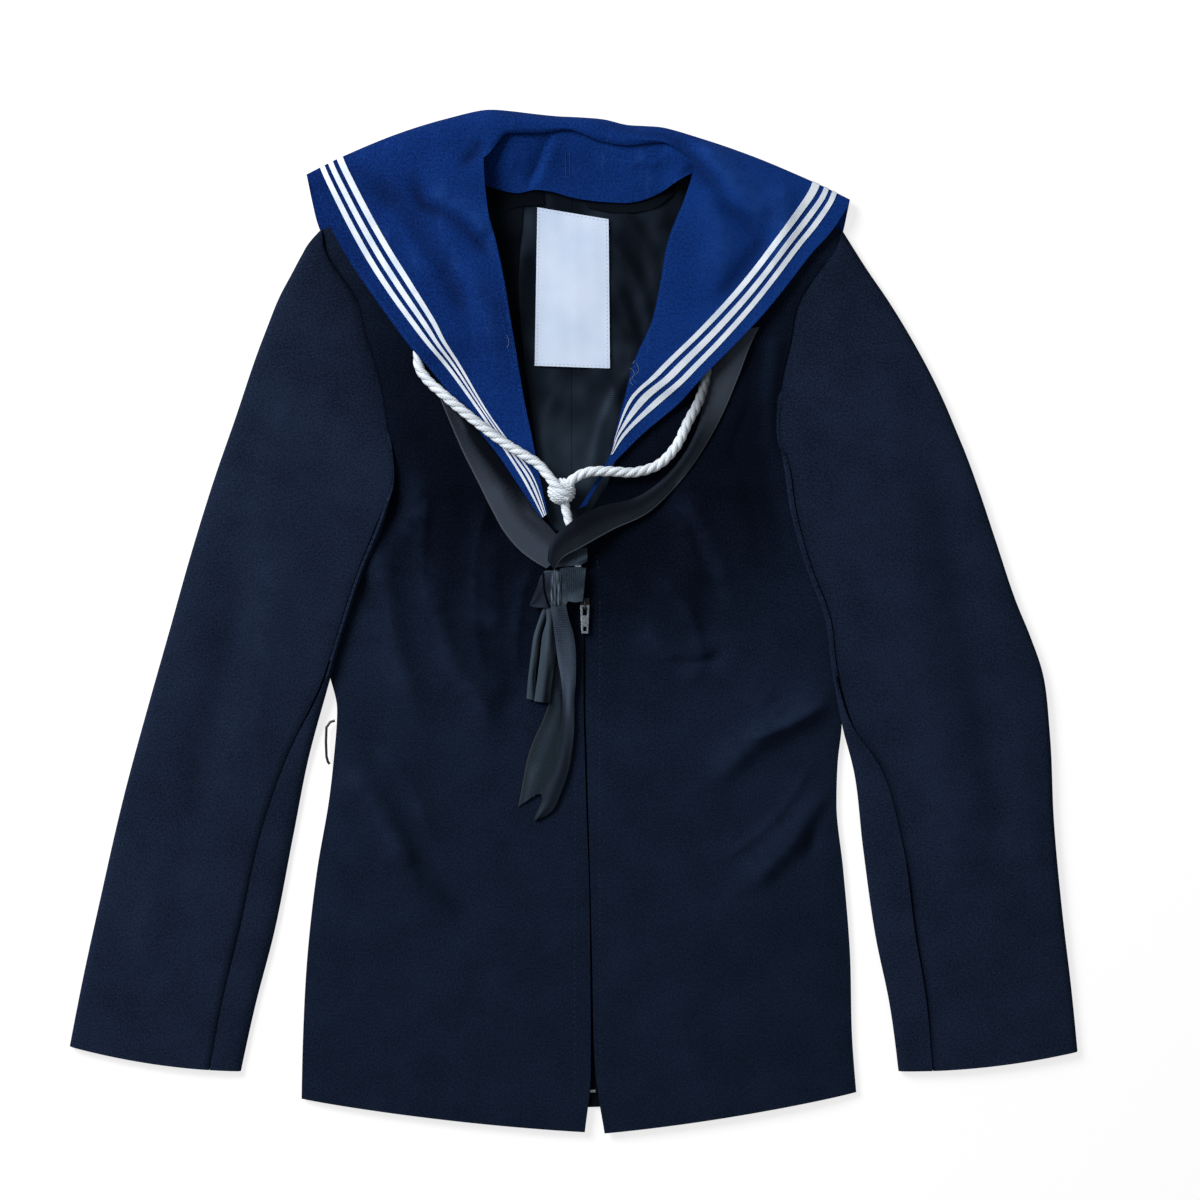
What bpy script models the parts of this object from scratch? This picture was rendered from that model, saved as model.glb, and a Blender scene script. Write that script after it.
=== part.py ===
"""Sailor jumper, laid out flat on its back.

A navy wool serge jumper with a blue three-tape collar, a black satin ribbon tied in a bow,
a white rope lanyard round the neck and a zip under the centre front edges.

Frame: the table is z = 0, +Z is up, +Y runs from the hem to the collar and +X to the wearer's left,
which is the right-hand side seen from above.  The tables below are in millimetres, in rows from the
hem or cuff upwards; meshes are made in metres.
"""

import math
from collections import namedtuple

import bmesh
import bpy
import numpy as np
from mathutils import Matrix, Vector

MM = 0.001
WELD = 1e-6                                    # metres; points closer than this are one

# --------------------------------------------------------------------------------------------------
# Driving dimensions, mm
# --------------------------------------------------------------------------------------------------
WOOL = 1.5            # wall of the wool serge
COTTON = 1.0          # wall of the collar cotton, the lining, the ribbon and the label
TAPE = 1.0            # wall of the white collar tapes
SEAM = 0.3            # gap between pieces that are sewn together
LAY = 0.5             # gap between a piece and what it lies on

COLLAR_UNDER = TAPE + LAY                      # outer face of the back flap, above its tapes
FLAP_TOP = COLLAR_UNDER + COTTON
STEP = FLAP_TOP + SEAM                         # height of the jumper where it lies on the flap
FLAP_EDGE_Y = 114.0                            # bottom edge of the back flap
STEP_START, STEP_END = FLAP_EDGE_Y - 26.0, FLAP_EDGE_Y - 6.0

SIDE_RISE = 2 * WOOL + 0.4                     # top of the front at its side edge
BODY_CROWN = 3.4                               # how far the front rises above that
BODY_CROWN_RUN = 14.0                          # over this distance from the edge
FRONT_EDGE_TOP = 6.0                           # top of the front at the zip

TAPE_WIDTH, TAPE_PITCH, TAPE_INSET = 5.0, 7.7, 10.5
TAPE_COUNT = 3
TAPE_BAND = (TAPE_COUNT - 1) * TAPE_PITCH + TAPE_WIDTH

ROPE_RADIUS = 4.0
ROPE_STEP, TAIL_STEP = 14.0, 7.0               # between the points along the rope
KNOT_RADIUS = 10.0
HOOK_RADIUS = 1.0

# --------------------------------------------------------------------------------------------------
# Section tables, mm
# --------------------------------------------------------------------------------------------------
PanelRow = namedtuple("PanelRow", "side_x side_y centre_x centre_y")
SleeveRow = namedtuple("SleeveRow", "outer_x outer_y inner_x inner_y seam hind under edge_height joined")
WingRow = namedtuple("WingRow", "outer_x outer_y outer_z inner_x inner_y inner_z inset band bow")
StripRow = namedtuple("StripRow", "left_x left_y right_x right_y height")
Fold = namedtuple("Fold", "x1 y1 x2 y2 reach height")

FRONT_RIGHT_OF_WEARER = [                      # side edge or armhole, then centre front or neck edge
    PanelRow(-209, -361, 6, -386),
    PanelRow(-208, -317, 10.5, -339),
    PanelRow(-204, -246, 10, -254),
    PanelRow(-197, -186, 9, -190),
    PanelRow(-188, -133, 7, -137),
    PanelRow(-184, -97, 6, -100),
    PanelRow(-182, -66, 5, -62),
    PanelRow(-190, -25, 5, -20),
    PanelRow(-190, 20, 5, 18),
    PanelRow(-182, 50, 4, 46),
    PanelRow(-165, 82, -18, 72),
    PanelRow(-139, 112, -31, 104),
    PanelRow(-144, 151, -38, 148),
    PanelRow(-150, 185, -46, 190),
    PanelRow(-160, 217, -54, 232),
    PanelRow(-167, 245, -61, 272),
    PanelRow(-182, 268, -69, 308),
    PanelRow(-191, 284, -78, 341),
    PanelRow(-193.2, 298.0, -80, 347),
]
FRONT_LEFT_OF_WEARER = [
    PanelRow(212, -356, 21, -387),
    PanelRow(209, -317, 14, -339),
    PanelRow(207, -246, 11.5, -254),
    PanelRow(202, -186, 10, -190),
    PanelRow(197, -137, 8.5, -140),
    PanelRow(198, -105, 7.5, -100),
    PanelRow(201, -75, 6.5, -62),
    PanelRow(201, -35, 6.5, -20),
    PanelRow(198, 10, 6.5, 18),
    PanelRow(191, 52, 6, 46),
    PanelRow(184, 84, 8, 77),
    PanelRow(174, 106, 22, 103),
    PanelRow(152, 145, 34, 143),
    PanelRow(155, 182, 44, 180),
    PanelRow(162, 213, 56, 220),
    PanelRow(168, 242, 66, 258),
    PanelRow(186, 270, 75, 292),
    PanelRow(198, 284, 91, 335),
    PanelRow(201.4, 297.5, 93, 341),
]
PANEL_COLUMNS = (0.0, 0.02, 0.07, 0.16, 0.27, 0.39, 0.51, 0.63, 0.75, 0.87, 0.95, 1.0)
HEM_BOW = -3.0                                 # sag of the hem below a straight line
BACK_NECK = [(-193, 298), (-78, 347), (-48, 334), (6, 328), (60, 331), (91, 341), (202, 296)]
BACK_HEM = [(-207, -352), (-100, -362), (0, -368), (100, -362), (210, -349)]
BACK_COLUMNS = (0.0, 0.1, 0.2, 0.294, 0.37, 0.505, 0.64, 0.722, 0.81, 0.9, 1.0)
BACK_INSET = 0.6                               # how far the back's side edges lie inside the fronts'
CLOSEST_ROW = 0.05                             # share of the way up within which rows would crowd
BACK_FLAT_BELOW = STEP_START - 30.0            # below this line the back follows the fronts' rows

SLEEVE_RIGHT_OF_WEARER = [                     # seam, hind: mm in from the inner and outer folds
    SleeveRow(-385, -321, -255, -340, 24, 26, 0.0, 6.4, True),
    SleeveRow(-375, -270, -244, -290, 25, 28, 0.0, 7.2, True),
    SleeveRow(-363, -215, -230, -236, 26, 32, 0.0, 7.8, True),
    SleeveRow(-343, -128, -215, -160, 24, 36, 0.0, 8.0, True),
    SleeveRow(-324, -58, -203, -100, 15, 40, 0.6, 8.0, True),
    SleeveRow(-309, -5, -189, -50, 6, 42, 5.6, 8.0, True),
    SleeveRow(-293, 52, -177, -8, 4.5, 44, 7.2, 8.0, True),
    SleeveRow(-276, 107, -163, 35, 4.5, 46, 7.4, 8.0, True),
    SleeveRow(-258, 159, -145, 80, 4.5, 48, 7.4, 8.0, True),
    SleeveRow(-246, 195, -139.4, 112.3, 8, 50, 7.4, 8.0, True),
    SleeveRow(-236, 222, -144.4, 151.1, 3, 52, STEP, 8.0, False),
    SleeveRow(-226, 247, -150.4, 185.2, 3, 50, STEP, 8.0, False),
    SleeveRow(-217, 264, -160.4, 217.2, 3, 42, STEP, 8.0, False),
    SleeveRow(-209, 279, -167.5, 245.2, 3, 26, STEP, 8.0, False),
    SleeveRow(-203, 289, -182.4, 268.4, 3, 14, STEP, 7.6, False),
    SleeveRow(-194, 299, -191.5, 284.5, 1, 5, STEP, 7.2, False),
]
SLEEVE_LEFT_OF_WEARER = [
    SleeveRow(380, -325, 244, -340, 26, 26, 0.0, 6.4, True),
    SleeveRow(375, -275, 237, -288, 28, 28, 0.0, 7.2, True),
    SleeveRow(369, -225, 227, -240, 30, 32, 0.0, 7.8, True),
    SleeveRow(362, -150, 217, -170, 30, 36, 0.0, 8.0, True),
    SleeveRow(359, -85, 210, -112, 20, 40, 0.6, 8.0, True),
    SleeveRow(354, -40, 201, -78, 8, 42, 5.6, 8.0, True),
    SleeveRow(344, -10, 193, -36, 4.5, 44, 7.2, 8.0, True),
    SleeveRow(333, 17, 188, 2, 4.5, 45, 7.4, 8.0, True),
    SleeveRow(318, 62, 172, 46, 4.5, 46, 7.4, 8.0, True),
    SleeveRow(304, 104, 161, 88, 4.5, 47, 8.0, 8.0, True),
    SleeveRow(296, 126, 157, 116, 4.5, 48, 8.8, 8.0, True),
    SleeveRow(287, 148, 152.4, 145.2, 8, 50, 8.8, 8.0, True),
    SleeveRow(270, 186, 155.4, 182.2, 3, 52, STEP, 8.0, False),
    SleeveRow(252, 219, 162.4, 213.1, 3, 48, STEP, 8.0, False),
    SleeveRow(236, 245, 168.5, 242.2, 3, 38, STEP, 8.0, False),
    SleeveRow(219, 270, 186.4, 270.2, 3, 22, STEP, 7.6, False),
    SleeveRow(203, 297, 198.5, 284.4, 1, 5, STEP, 7.2, False),
]
UNDER_FLAT, UNDER_SLOPE, UNDER_END = 10.0, 24.0, 45.0   # how the under sleeve comes down to the table
TOP_SHARES = (0.0, 0.14, 0.34, 0.56, 0.78, 1.0)         # columns of the top sleeve up to its outer fold
OUTER_FOLD = 4.5                               # width of the rounded outer fold
CUFF_CROWN, SLEEVE_CROWN = 0.5, 2.4            # how far the sleeve swells between its folds
FLAT_CUFF_HEIGHT = 6.5                         # a sleeve lower than this is at its cuff
CUFF_BOW = -4.0

# from the shoulder fold to the point of the collar; inset and band place the tapes, mm in from the outer
# edge, and bow lifts the middle of the section towards the neck
WING_RIGHT_OF_WEARER = [
    WingRow(-205, 340, 6.5, -66, 388, 14, 10.6, 19.0, 6.4),
    WingRow(-202, 333, 11, -68, 378, 26, 10.6, 19.0, 6.0),
    WingRow(-189, 305, 13, -70, 350, 27, 11.2, 19.6, 4.0),
    WingRow(-172, 274, 14, -67, 312, 25, 11.2, 20.4, 2.0),
    WingRow(-153, 246, 17.5, -61, 288, 24, 10.4, 20.2, 0.0),
    WingRow(-130, 214, 20.4, -54, 255, 23.5, 10.6, 16.8, 0.0),
    WingRow(-121, 203, 20.2, -51, 236, 22, 10.6, 13.6, 0.0),
    WingRow(-107, 187, 15.4, -47, 212, 20, 10.4, 10.6, 0.0),
    WingRow(-83, 156, 13.5, -40, 170, 17, 9.4, 6.6, 0.0),
    WingRow(-61, 129, 13.5, -33, 136, 15, 6.2, 7.6, 0.0),
    WingRow(-44, 104, 13, -28, 110, 14, 4.8, 8.4, 0.0),
    WingRow(-27, 79, 12, -22, 83, 12.5, 1.6, 3.4, 0.0),
]
WING_LEFT_OF_WEARER = [
    WingRow(207, 321, 6.5, 62, 375, 14, 11.2, 20.4, 4.8),
    WingRow(204, 314, 11, 66, 366, 26, 11.4, 20.6, 4.4),
    WingRow(193, 297, 13, 88, 346, 27, 11.8, 20.4, 3.0),
    WingRow(177, 279, 14, 82, 322, 26, 11.0, 19.4, 1.5),
    WingRow(157, 253, 15, 69, 289, 25, 11.0, 20.2, 0.0),
    WingRow(137, 229, 17.5, 63, 257, 24, 10.4, 21.4, 0.0),
    WingRow(119, 210, 19.6, 57, 229, 22.5, 10.0, 22.8, 0.0),
    WingRow(99, 190, 20.4, 46, 204, 21.5, 9.8, 24.4, 0.0),
    WingRow(89, 179, 20.0, 41, 190, 20.5, 10.8, 24.4, 0.0),
    WingRow(76, 165, 14.5, 36, 170, 17, 14.6, 23.4, 0.0),
    WingRow(52, 145, 13.5, 29, 143, 15, 13.4, 9.0, 0.0),
    WingRow(38, 131.5, 13.5, 25, 127, 14, 11.6, 1.6, 0.0),
    WingRow(26, 119, 13.5, 19, 112, 13.5, 8.0, 1.2, 0.0),
    WingRow(7, 89, 12.5, 2, 84, 12.5, 5.0, 1.0, 0.0),
]
TAPE_STOPS = (11, 11)                          # the last wing rows that carry the tapes, right and left
SILHOUETTE = [(-66, 388), (-43, 386.5), (-24, 383.5), (17, 381.5), (38, 376.5), (62, 375)]
ROLL_TOP = [(-68, 378), (-43, 378), (-24, 377), (17, 374), (38, 369), (66, 366)]
ROLL_EDGE = [(-70, 350), (-62, 366), (-50, 369), (-28, 369), (-7, 371), (8, 366), (23, 361), (48, 359),
             (60, 362), (73, 361), (82, 356), (88, 346)]
MIDDLE_COLUMNS = (0.12, 0.26, 0.4, 0.54, 0.68, 0.81, 0.92)
WING_SHARES = (0.36, 0.7, 1.0)                 # columns between the tapes and the inner edge
TAPE_EDGES = (0.0, TAPE_INSET, TAPE_INSET + TAPE_BAND)   # mm in from the outer edge
NECK_FOLD_TOP, ROLL_HEIGHT, ROLL_EDGE_HEIGHT = 14.0, 26.0, 24.0
FOLD_TUCK = (0.985, -16.0)                     # where the flap starts up to the shoulder fold
FLAP_SIDES = [(114, 130), (213, 148), (242, 158), (268, 172), (290, 186)]   # y, half width of the flap
FLAP_ROWS = (0.0, TAPE_INSET, TAPE_INSET + TAPE_BAND, 92.0, 128.0, 168.0)   # mm up from its edge

BAND_TOP = [(-72, 353), (-62, 369), (-28, 373), (5, 370), (36, 362), (64, 353), (75, 348)]
BAND_LOW = [(-72, 333), (-59, 328), (-42, 325), (-37, 328), (-24, 328), (-3, 322), (15, 319), (37, 318),
            (55, 320), (67, 324), (75, 332)]
BAND_HEIGHTS = (22.4, 18.5, 13.5, 9.5)         # from the roll down to the lining
BAND_COLUMNS = 13
BAND_END_DROP, BAND_END_RUN = 7.0, 0.09        # how the band's ends sink below the wings

LINING_CENTRE = -4.0
LiningRow = namedtuple("LiningRow", "y right left lifted")
LINING_ROWS = [                                # lifted where the back lies on the collar's flap
    LiningRow(70, -42, 16, 0),
    LiningRow(STEP_START - 2, -45, 26, 0),
    LiningRow(STEP_END - 2, -48, 36, 1),
    LiningRow(150, -56, 54, 1),
    LiningRow(210, -66, 72, 1),
    LiningRow(270, -80, 84, 1),
    LiningRow(322, -88, 96, 1),
]
LABEL_CORNERS = [(-32, 195), (25, 193), (24, 306), (-30, 315)]

ZIP_TAPE_WIDTH, ZIP_TAPE_WALL = 26.0, 1.2
ZIP_CENTRE = 7.5
ZIP_TAPE_ENDS = (-367.0, 42.0)

RIBBON_CAMBER = 0.6
RIBBON_RIGHT_OF_WEARER = [                     # left edge, right edge, height of the top face
    StripRow(-106, 174, -93, 178, 11.4),
    StripRow(-93, 147, -79, 149, 11.4),
    StripRow(-81, 127, -65, 128, 11.4),
    StripRow(-68, 104, -51, 106, 11.0),
    StripRow(-57, 83, -40, 89, 10.2),
    StripRow(-46, 64, -29, 76, 9.8),
    StripRow(-36, 51, -20, 66, 10.2),
    StripRow(-24, 42, -10, 58, 12.0),
]
RIBBON_LEFT_OF_WEARER = [
    StripRow(-18, 38, -24, 54, 20.4),
    StripRow(-10, 47, -14, 65, 20.6),
    StripRow(8, 60, 0, 76, 20.0),
    StripRow(30, 72, 21, 89, 13.0),
    StripRow(50, 86, 39, 97, 10.6),
    StripRow(68, 102, 56, 105, 11.0),
    StripRow(86, 121, 73, 118, 11.2),
    StripRow(98, 142, 85, 136, 11.0),
    StripRow(109, 160, 96, 154, 10.8),
    StripRow(121, 184, 107, 180, 10.8),
    StripRow(131, 207, 118, 203, 10.8),
    StripRow(138, 222, 124, 218, 11.0),
]
BOW_LOOP = [
    StripRow(-27, 15.4, -15, 15.4, 14.0),
    StripRow(-32, -2, -15, -2, 11.6),
    StripRow(-37, -34, -17, -30, 10.8),
    StripRow(-38, -58, -20, -60, 10.6),
]
FRONT_TAIL = [
    StripRow(-19, 15.4, -5, 15.4, 16.6),
    StripRow(-16, -8, -1, -6, 14.4),
    StripRow(-13, -33, 0, -27, 12.2),
    StripRow(-11, -59, -1, -54, 10.9),
    StripRow(-12, -80, -2, -78, 10.6),
    StripRow(-15, -100, -5, -103, 10.4),
    StripRow(-22, -121, -9, -120, 10.2),
    StripRow(-34.5, -150, -28, -148, 8.6),
]
BACK_TAIL = [
    StripRow(-15, -24, -5, -24, 8.6),
    StripRow(-17, -46, -6, -46, 8.4),
    StripRow(-22, -65, -8, -66, 8.4),
    StripRow(-32, -88, -13, -90, 8.4),
    StripRow(-39, -110, -20, -112, 8.4),
    StripRow(-45, -138, -27, -134, 8.2),
]
BOW_LEAVES = [                                 # a flat leaf of the bow each side of its knot
    ("bow_leaf_right", [StripRow(-27, 20, -27, 40, 14.6), StripRow(-20, 17, -20, 42, 16.0)]),
    ("bow_leaf_left", [StripRow(-12, 17, -12, 42, 17.0), StripRow(6, 17, 6, 40, 14.6)]),
]
BOW_KNOT = dict(x=-16.0, y=29.5, half_width=3.6, half_length=13.5, low=12.6, high=19.4)

LANYARD_ROUTE = [                              # centre of the rope, from the knot round the neck and back
    (-19.4, 106.7, 17.8), (-28, 119, 19.6), (-40, 127, 20.0), (-56, 137, 19.9), (-72, 149, 19.9),
    (-87, 161, 19.7), (-101, 173, 19.0), (-112, 183, 15.6), (-119, 193, 14.5), (-120, 204, 14.3),
    (-113, 226, 14.3), (-104, 258, 14.3), (-97, 292, 14.3), (-92, 322, 14.3), (-87, 346, 14.0),
    (-70, 359, 10.0), (-40, 362, 8.4),
    (0, 359, 8.4), (40, 351, 8.4), (71, 351, 9.2), (90, 343, 13.6), (96, 322, 14.4), (98, 300, 14.4),
    (97, 275, 14.4), (96, 245, 14.3), (95, 215, 14.3), (94, 192, 14.3), (89, 171, 14.3), (80, 151, 14.3),
    (73, 133, 14.4), (62, 120, 15.2), (44, 114, 17.0), (24, 114.5, 19.4), (6, 114, 19.6),
    (-4.7, 108, 17.8),
]
LANYARD_TAIL = [(-8.9, 88.8, 14.8), (-6.5, 79, 14.4), (-4, 70, 14.2)]
KNOT_CENTRE = (-11.5, 99.5, 16.0)

PIVOT = (6.0, 13.0, 9.7)                       # the pull turns here, about the garment's width
SLIDER = dict(width=7.0, length=9.0, forward=1.5, low=6.6, high=8.6)
BRIDGE = dict(wire=0.7, front=5.0, rear=-2.2, shoulder=0.8, rise=1.6, top=2.2)
PULL = dict(width=7.2, length=21.7, wall=1.2, bar=1.6, taper=0.72)
PULL_HOLES = (("pull_fork", 3.4, 6.4, 0.8), ("pull_eye", 2.6, 3.4, 15.7))   # width, length, start
HOOK_ROUTE = [(-183.6, -74, 4.6), (-187, -75, 4.6), (-190, -79, 4.6), (-190.4, -90, 4.6), (-190, -101, 4.6),
              (-189, -105, 4.6), (-187.6, -107, 4.6)]

FOLDS = [                                      # the largest soft ridges (+) and troughs (-)
    Fold(-140, 60, -131, -42, 15, 3.2),
    Fold(-108, 35, -91, -37, 14, 3.0),
    Fold(-91, -37, -65, -84, 14, 3.0),
    Fold(-60, 60, -62, -12, 13, 2.4),
    Fold(-175, -120, -158, -124, 16, 2.4),
    Fold(-158, -124, -125, -187, 17, 3.0),
    Fold(-150, -100, -84, -227, 14, -1.6),
    Fold(138, 169, 120, 110, 15, -1.8),
    Fold(90, 84, 114, 27, 14, 2.8),
    Fold(49, -5, 98, -40, 13, 2.6),
    Fold(190, -62, 136, -89, 17, 2.6),
    Fold(136, -89, 104, -119, 16, 2.6),
    Fold(190, -140, 132, -198, 15, 2.8),
]

# --------------------------------------------------------------------------------------------------
# Finishes: name -> (linear colour, roughness, metallic)
# --------------------------------------------------------------------------------------------------
WOOL_NAVY = ((0.010, 0.014, 0.025), 0.95, 0.0)
COTTON_BLUE = ((0.006, 0.030, 0.150), 0.85, 0.0)
TAPE_WHITE = ((0.80, 0.86, 0.94), 0.8, 0.0)
SATIN_BLACK = ((0.023, 0.027, 0.032), 0.4, 0.0)
LINING_GREY = ((0.026, 0.036, 0.046), 0.5, 0.0)
ROPE_WHITE = ((0.78, 0.83, 0.86), 0.9, 0.0)
METAL = ((0.35, 0.38, 0.40), 0.35, 1.0)
METAL_BLACK = ((0.01, 0.01, 0.012), 0.5, 1.0)


# --------------------------------------------------------------------------------------------------
# Small helpers
# --------------------------------------------------------------------------------------------------
def clear_scene():
    for obj in list(bpy.data.objects):
        bpy.data.objects.remove(obj, do_unlink=True)


def collection(name):
    made = bpy.data.collections.new(name)
    bpy.context.scene.collection.children.link(made)
    return made


def finish(obj, look):
    """Give the object its own material and smooth shading."""
    colour, roughness, metallic = look
    material = bpy.data.materials.new(obj.name)
    material.use_nodes = True
    shader = material.node_tree.nodes["Principled BSDF"]
    shader.inputs["Base Color"].default_value = (*colour, 1.0)
    shader.inputs["Roughness"].default_value = roughness
    shader.inputs["Metallic"].default_value = metallic
    obj.data.materials.clear()
    obj.data.materials.append(material)
    if obj.type == "MESH":
        obj.data.shade_smooth()
        obj.data.set_sharp_from_angle(angle=math.radians(50))
    return obj


def smoothstep(value):
    value = min(max(value, 0.0), 1.0)
    return value * value * (3.0 - 2.0 * value)


def along(points, fraction):
    """The point at a fraction of a polyline's span in x, by straight interpolation."""
    points = np.asarray(points, float)
    x = points[0, 0] + (points[-1, 0] - points[0, 0]) * fraction
    return np.array([x] + [np.interp(x, points[:, 0], points[:, k]) for k in range(1, points.shape[1])])


def step_height(y):
    """How far the collar's back flap lifts what lies on it."""
    return STEP * smoothstep((y - STEP_START) / (STEP_END - STEP_START))


def fold_height(x, y):
    total = 0.0
    for fold in FOLDS:
        run = np.array([fold.x2 - fold.x1, fold.y2 - fold.y1])
        offset = np.array([x - fold.x1, y - fold.y1])
        share = min(max(float(offset @ run) / float(run @ run), 0.0), 1.0)
        distance = np.linalg.norm(offset - share * run)
        total += fold.height * math.exp(-(distance / fold.reach) ** 2)
    return total


def cloth(name, grid, wall, look, group, face_down=False, skip=None):
    """An open grid of points, given its wall on the inner side by Solidify.

    grid is rows of (x, y, z).  With rows that run up the garment and columns that run to the right the
    outer face looks up, or down with face_down.  skip(row, column) leaves a face out.
    """
    rows, columns = len(grid), len(grid[0])
    mesh = bpy.data.meshes.new(name)
    shell = bmesh.new()
    verts = {}

    def vert(row, column):
        if (row, column) not in verts:
            verts[row, column] = shell.verts.new(Vector(grid[row][column]) * MM)
        return verts[row, column]

    for row in range(rows - 1):
        for column in range(columns - 1):
            if skip is None or not skip(row, column):
                corners = [vert(row, column), vert(row, column + 1)]
                corners += [vert(row + 1, column + 1), vert(row + 1, column)]
                shell.faces.new(corners[::-1] if face_down else corners)
    shell.to_mesh(mesh)
    shell.free()
    obj = bpy.data.objects.new(name, mesh)
    group.objects.link(obj)
    solidify = obj.modifiers.new("wall", "SOLIDIFY")
    solidify.thickness = wall * MM
    solidify.offset = -1.0
    return finish(obj, look)


def tube(name, points, radius, look, group, resolution=2):
    """A round wire or rope along straight stretches between close points."""
    curve = bpy.data.curves.new(name, "CURVE")
    curve.dimensions = "3D"
    curve.bevel_depth = radius * MM
    curve.bevel_resolution = resolution
    curve.use_fill_caps = True
    spline = curve.splines.new("POLY")
    spline.points.add(len(points) - 1)
    for place, point in zip(spline.points, points):
        place.co = (*(Vector(point) * MM), 1.0)
    obj = bpy.data.objects.new(name, curve)
    group.objects.link(obj)
    return finish(obj, look)


def smooth_route(points, spacing):
    """Points a given distance apart on the Catmull-Rom curve through the route's own points."""
    points = np.asarray(points, float)
    ends = np.vstack([2 * points[0] - points[1], points, 2 * points[-1] - points[-2]])
    fine = []
    for i in range(1, len(ends) - 2):
        a, b, c, d = ends[i - 1: i + 3]
        for t in np.linspace(0.0, 1.0, 12, endpoint=False):
            fine.append(0.5 * (2 * b + (c - a) * t + (2 * a - 5 * b + 4 * c - d) * t ** 2
                               + (3 * b - a - 3 * c + d) * t ** 3))
    fine.append(points[-1])
    fine = np.array(fine)
    reach = np.concatenate([[0.0], np.cumsum(np.linalg.norm(np.diff(fine, axis=0), axis=1))])
    count = max(2, int(round(reach[-1] / spacing)))
    places = np.linspace(0.0, reach[-1], count + 1)
    return [tuple(np.interp(s, reach, fine[:, k]) for k in range(3)) for s in places]


def box_object(name, size, centre, group):
    mesh = bpy.data.meshes.new(name)
    solid = bmesh.new()
    bmesh.ops.create_cube(solid, size=1.0, matrix=Matrix.Diagonal((*(Vector(size) * MM), 1.0)))
    solid.to_mesh(mesh)
    solid.free()
    obj = bpy.data.objects.new(name, mesh)
    obj.location = Vector(centre) * MM
    group.objects.link(obj)
    return obj


def block(name, size, centre, look, group, bevel):
    """A cuboid with rounded edges."""
    obj = box_object(name, size, centre, group)
    rounding = obj.modifiers.new("round", "BEVEL")
    rounding.width = bevel * MM
    rounding.segments = 2
    return finish(obj, look)


# --------------------------------------------------------------------------------------------------
# Body panels
# --------------------------------------------------------------------------------------------------
def front_top(x, y, side_distance, centre_distance):
    """Height of a front's upper face."""
    rise = BODY_CROWN * (1.0 - math.exp(-side_distance / BODY_CROWN_RUN))
    base = SIDE_RISE + rise
    near_zip = math.exp(-centre_distance / BODY_CROWN_RUN) if y < 60.0 else 0.0
    base += (FRONT_EDGE_TOP - base) * near_zip
    quiet = (1.0 - math.exp(-side_distance / 10.0)) * (1.0 - math.exp(-centre_distance / 16.0))
    return base + step_height(y) + fold_height(x, y) * quiet


def front_grid(rows):
    grid = []
    for number, row in enumerate(rows):
        side = np.array([row.side_x, row.side_y], float)
        centre = np.array([row.centre_x, row.centre_y], float)
        width = np.linalg.norm(centre - side)
        line = []
        for share in PANEL_COLUMNS:
            x, y = side + (centre - side) * share
            if number == 0:
                y += HEM_BOW * 4.0 * share * (1.0 - share)
            line.append((x, y, front_top(x, y, width * share, width * (1.0 - share))))
        grid.append(line)
    return grid


def build_fronts(group):
    right = front_grid(FRONT_RIGHT_OF_WEARER)
    left = front_grid(FRONT_LEFT_OF_WEARER)
    cloth("front_right", right, WOOL, WOOL_NAVY, group)
    cloth("front_left", [line[::-1] for line in left], WOOL, WOOL_NAVY, group)


def side_at(rows, y):
    """x of a front's side edge at a height up the garment."""
    return float(np.interp(y, [row.side_y for row in rows], [row.side_x for row in rows]))


def back_line(right, left, heights):
    """A row of the back between its side edges; heights gives y along it."""
    right_x, left_x = right + BACK_INSET, left - BACK_INSET
    return [(right_x + (left_x - right_x) * share, y, step_height(y))
            for share, y in zip(BACK_COLUMNS, heights)]


def build_back(group):
    """The back lies face down: its outer face is the underside."""
    hem = [along(BACK_HEM, share) for share in BACK_COLUMNS]
    grid = [[(x, y, 0.0) for x, y in hem]]
    pairs = list(zip(FRONT_RIGHT_OF_WEARER, FRONT_LEFT_OF_WEARER))
    for right, left in pairs[1:]:
        if right.side_y < BACK_FLAT_BELOW:
            heights = [right.side_y + (left.side_y - right.side_y) * share for share in BACK_COLUMNS]
            grid.append(back_line(right.side_x, left.side_x, heights))
    for y in (STEP_START, STEP_END):
        edges = side_at(FRONT_RIGHT_OF_WEARER, y), side_at(FRONT_LEFT_OF_WEARER, y)
        grid.append(back_line(*edges, [y] * len(BACK_COLUMNS)))
    top_y = FRONT_RIGHT_OF_WEARER[-1].side_y
    for right, left in pairs:
        rise = (right.side_y - STEP_END) / (top_y - STEP_END)
        if rise > CLOSEST_ROW:
            heights = [STEP_END + (along(BACK_NECK, share)[1] - STEP_END) * rise for share in BACK_COLUMNS]
            heights[0], heights[-1] = right.side_y, left.side_y
            grid.append(back_line(right.side_x, left.side_x, heights))
    cloth("back", grid, WOOL, WOOL_NAVY, group, face_down=True)


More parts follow.
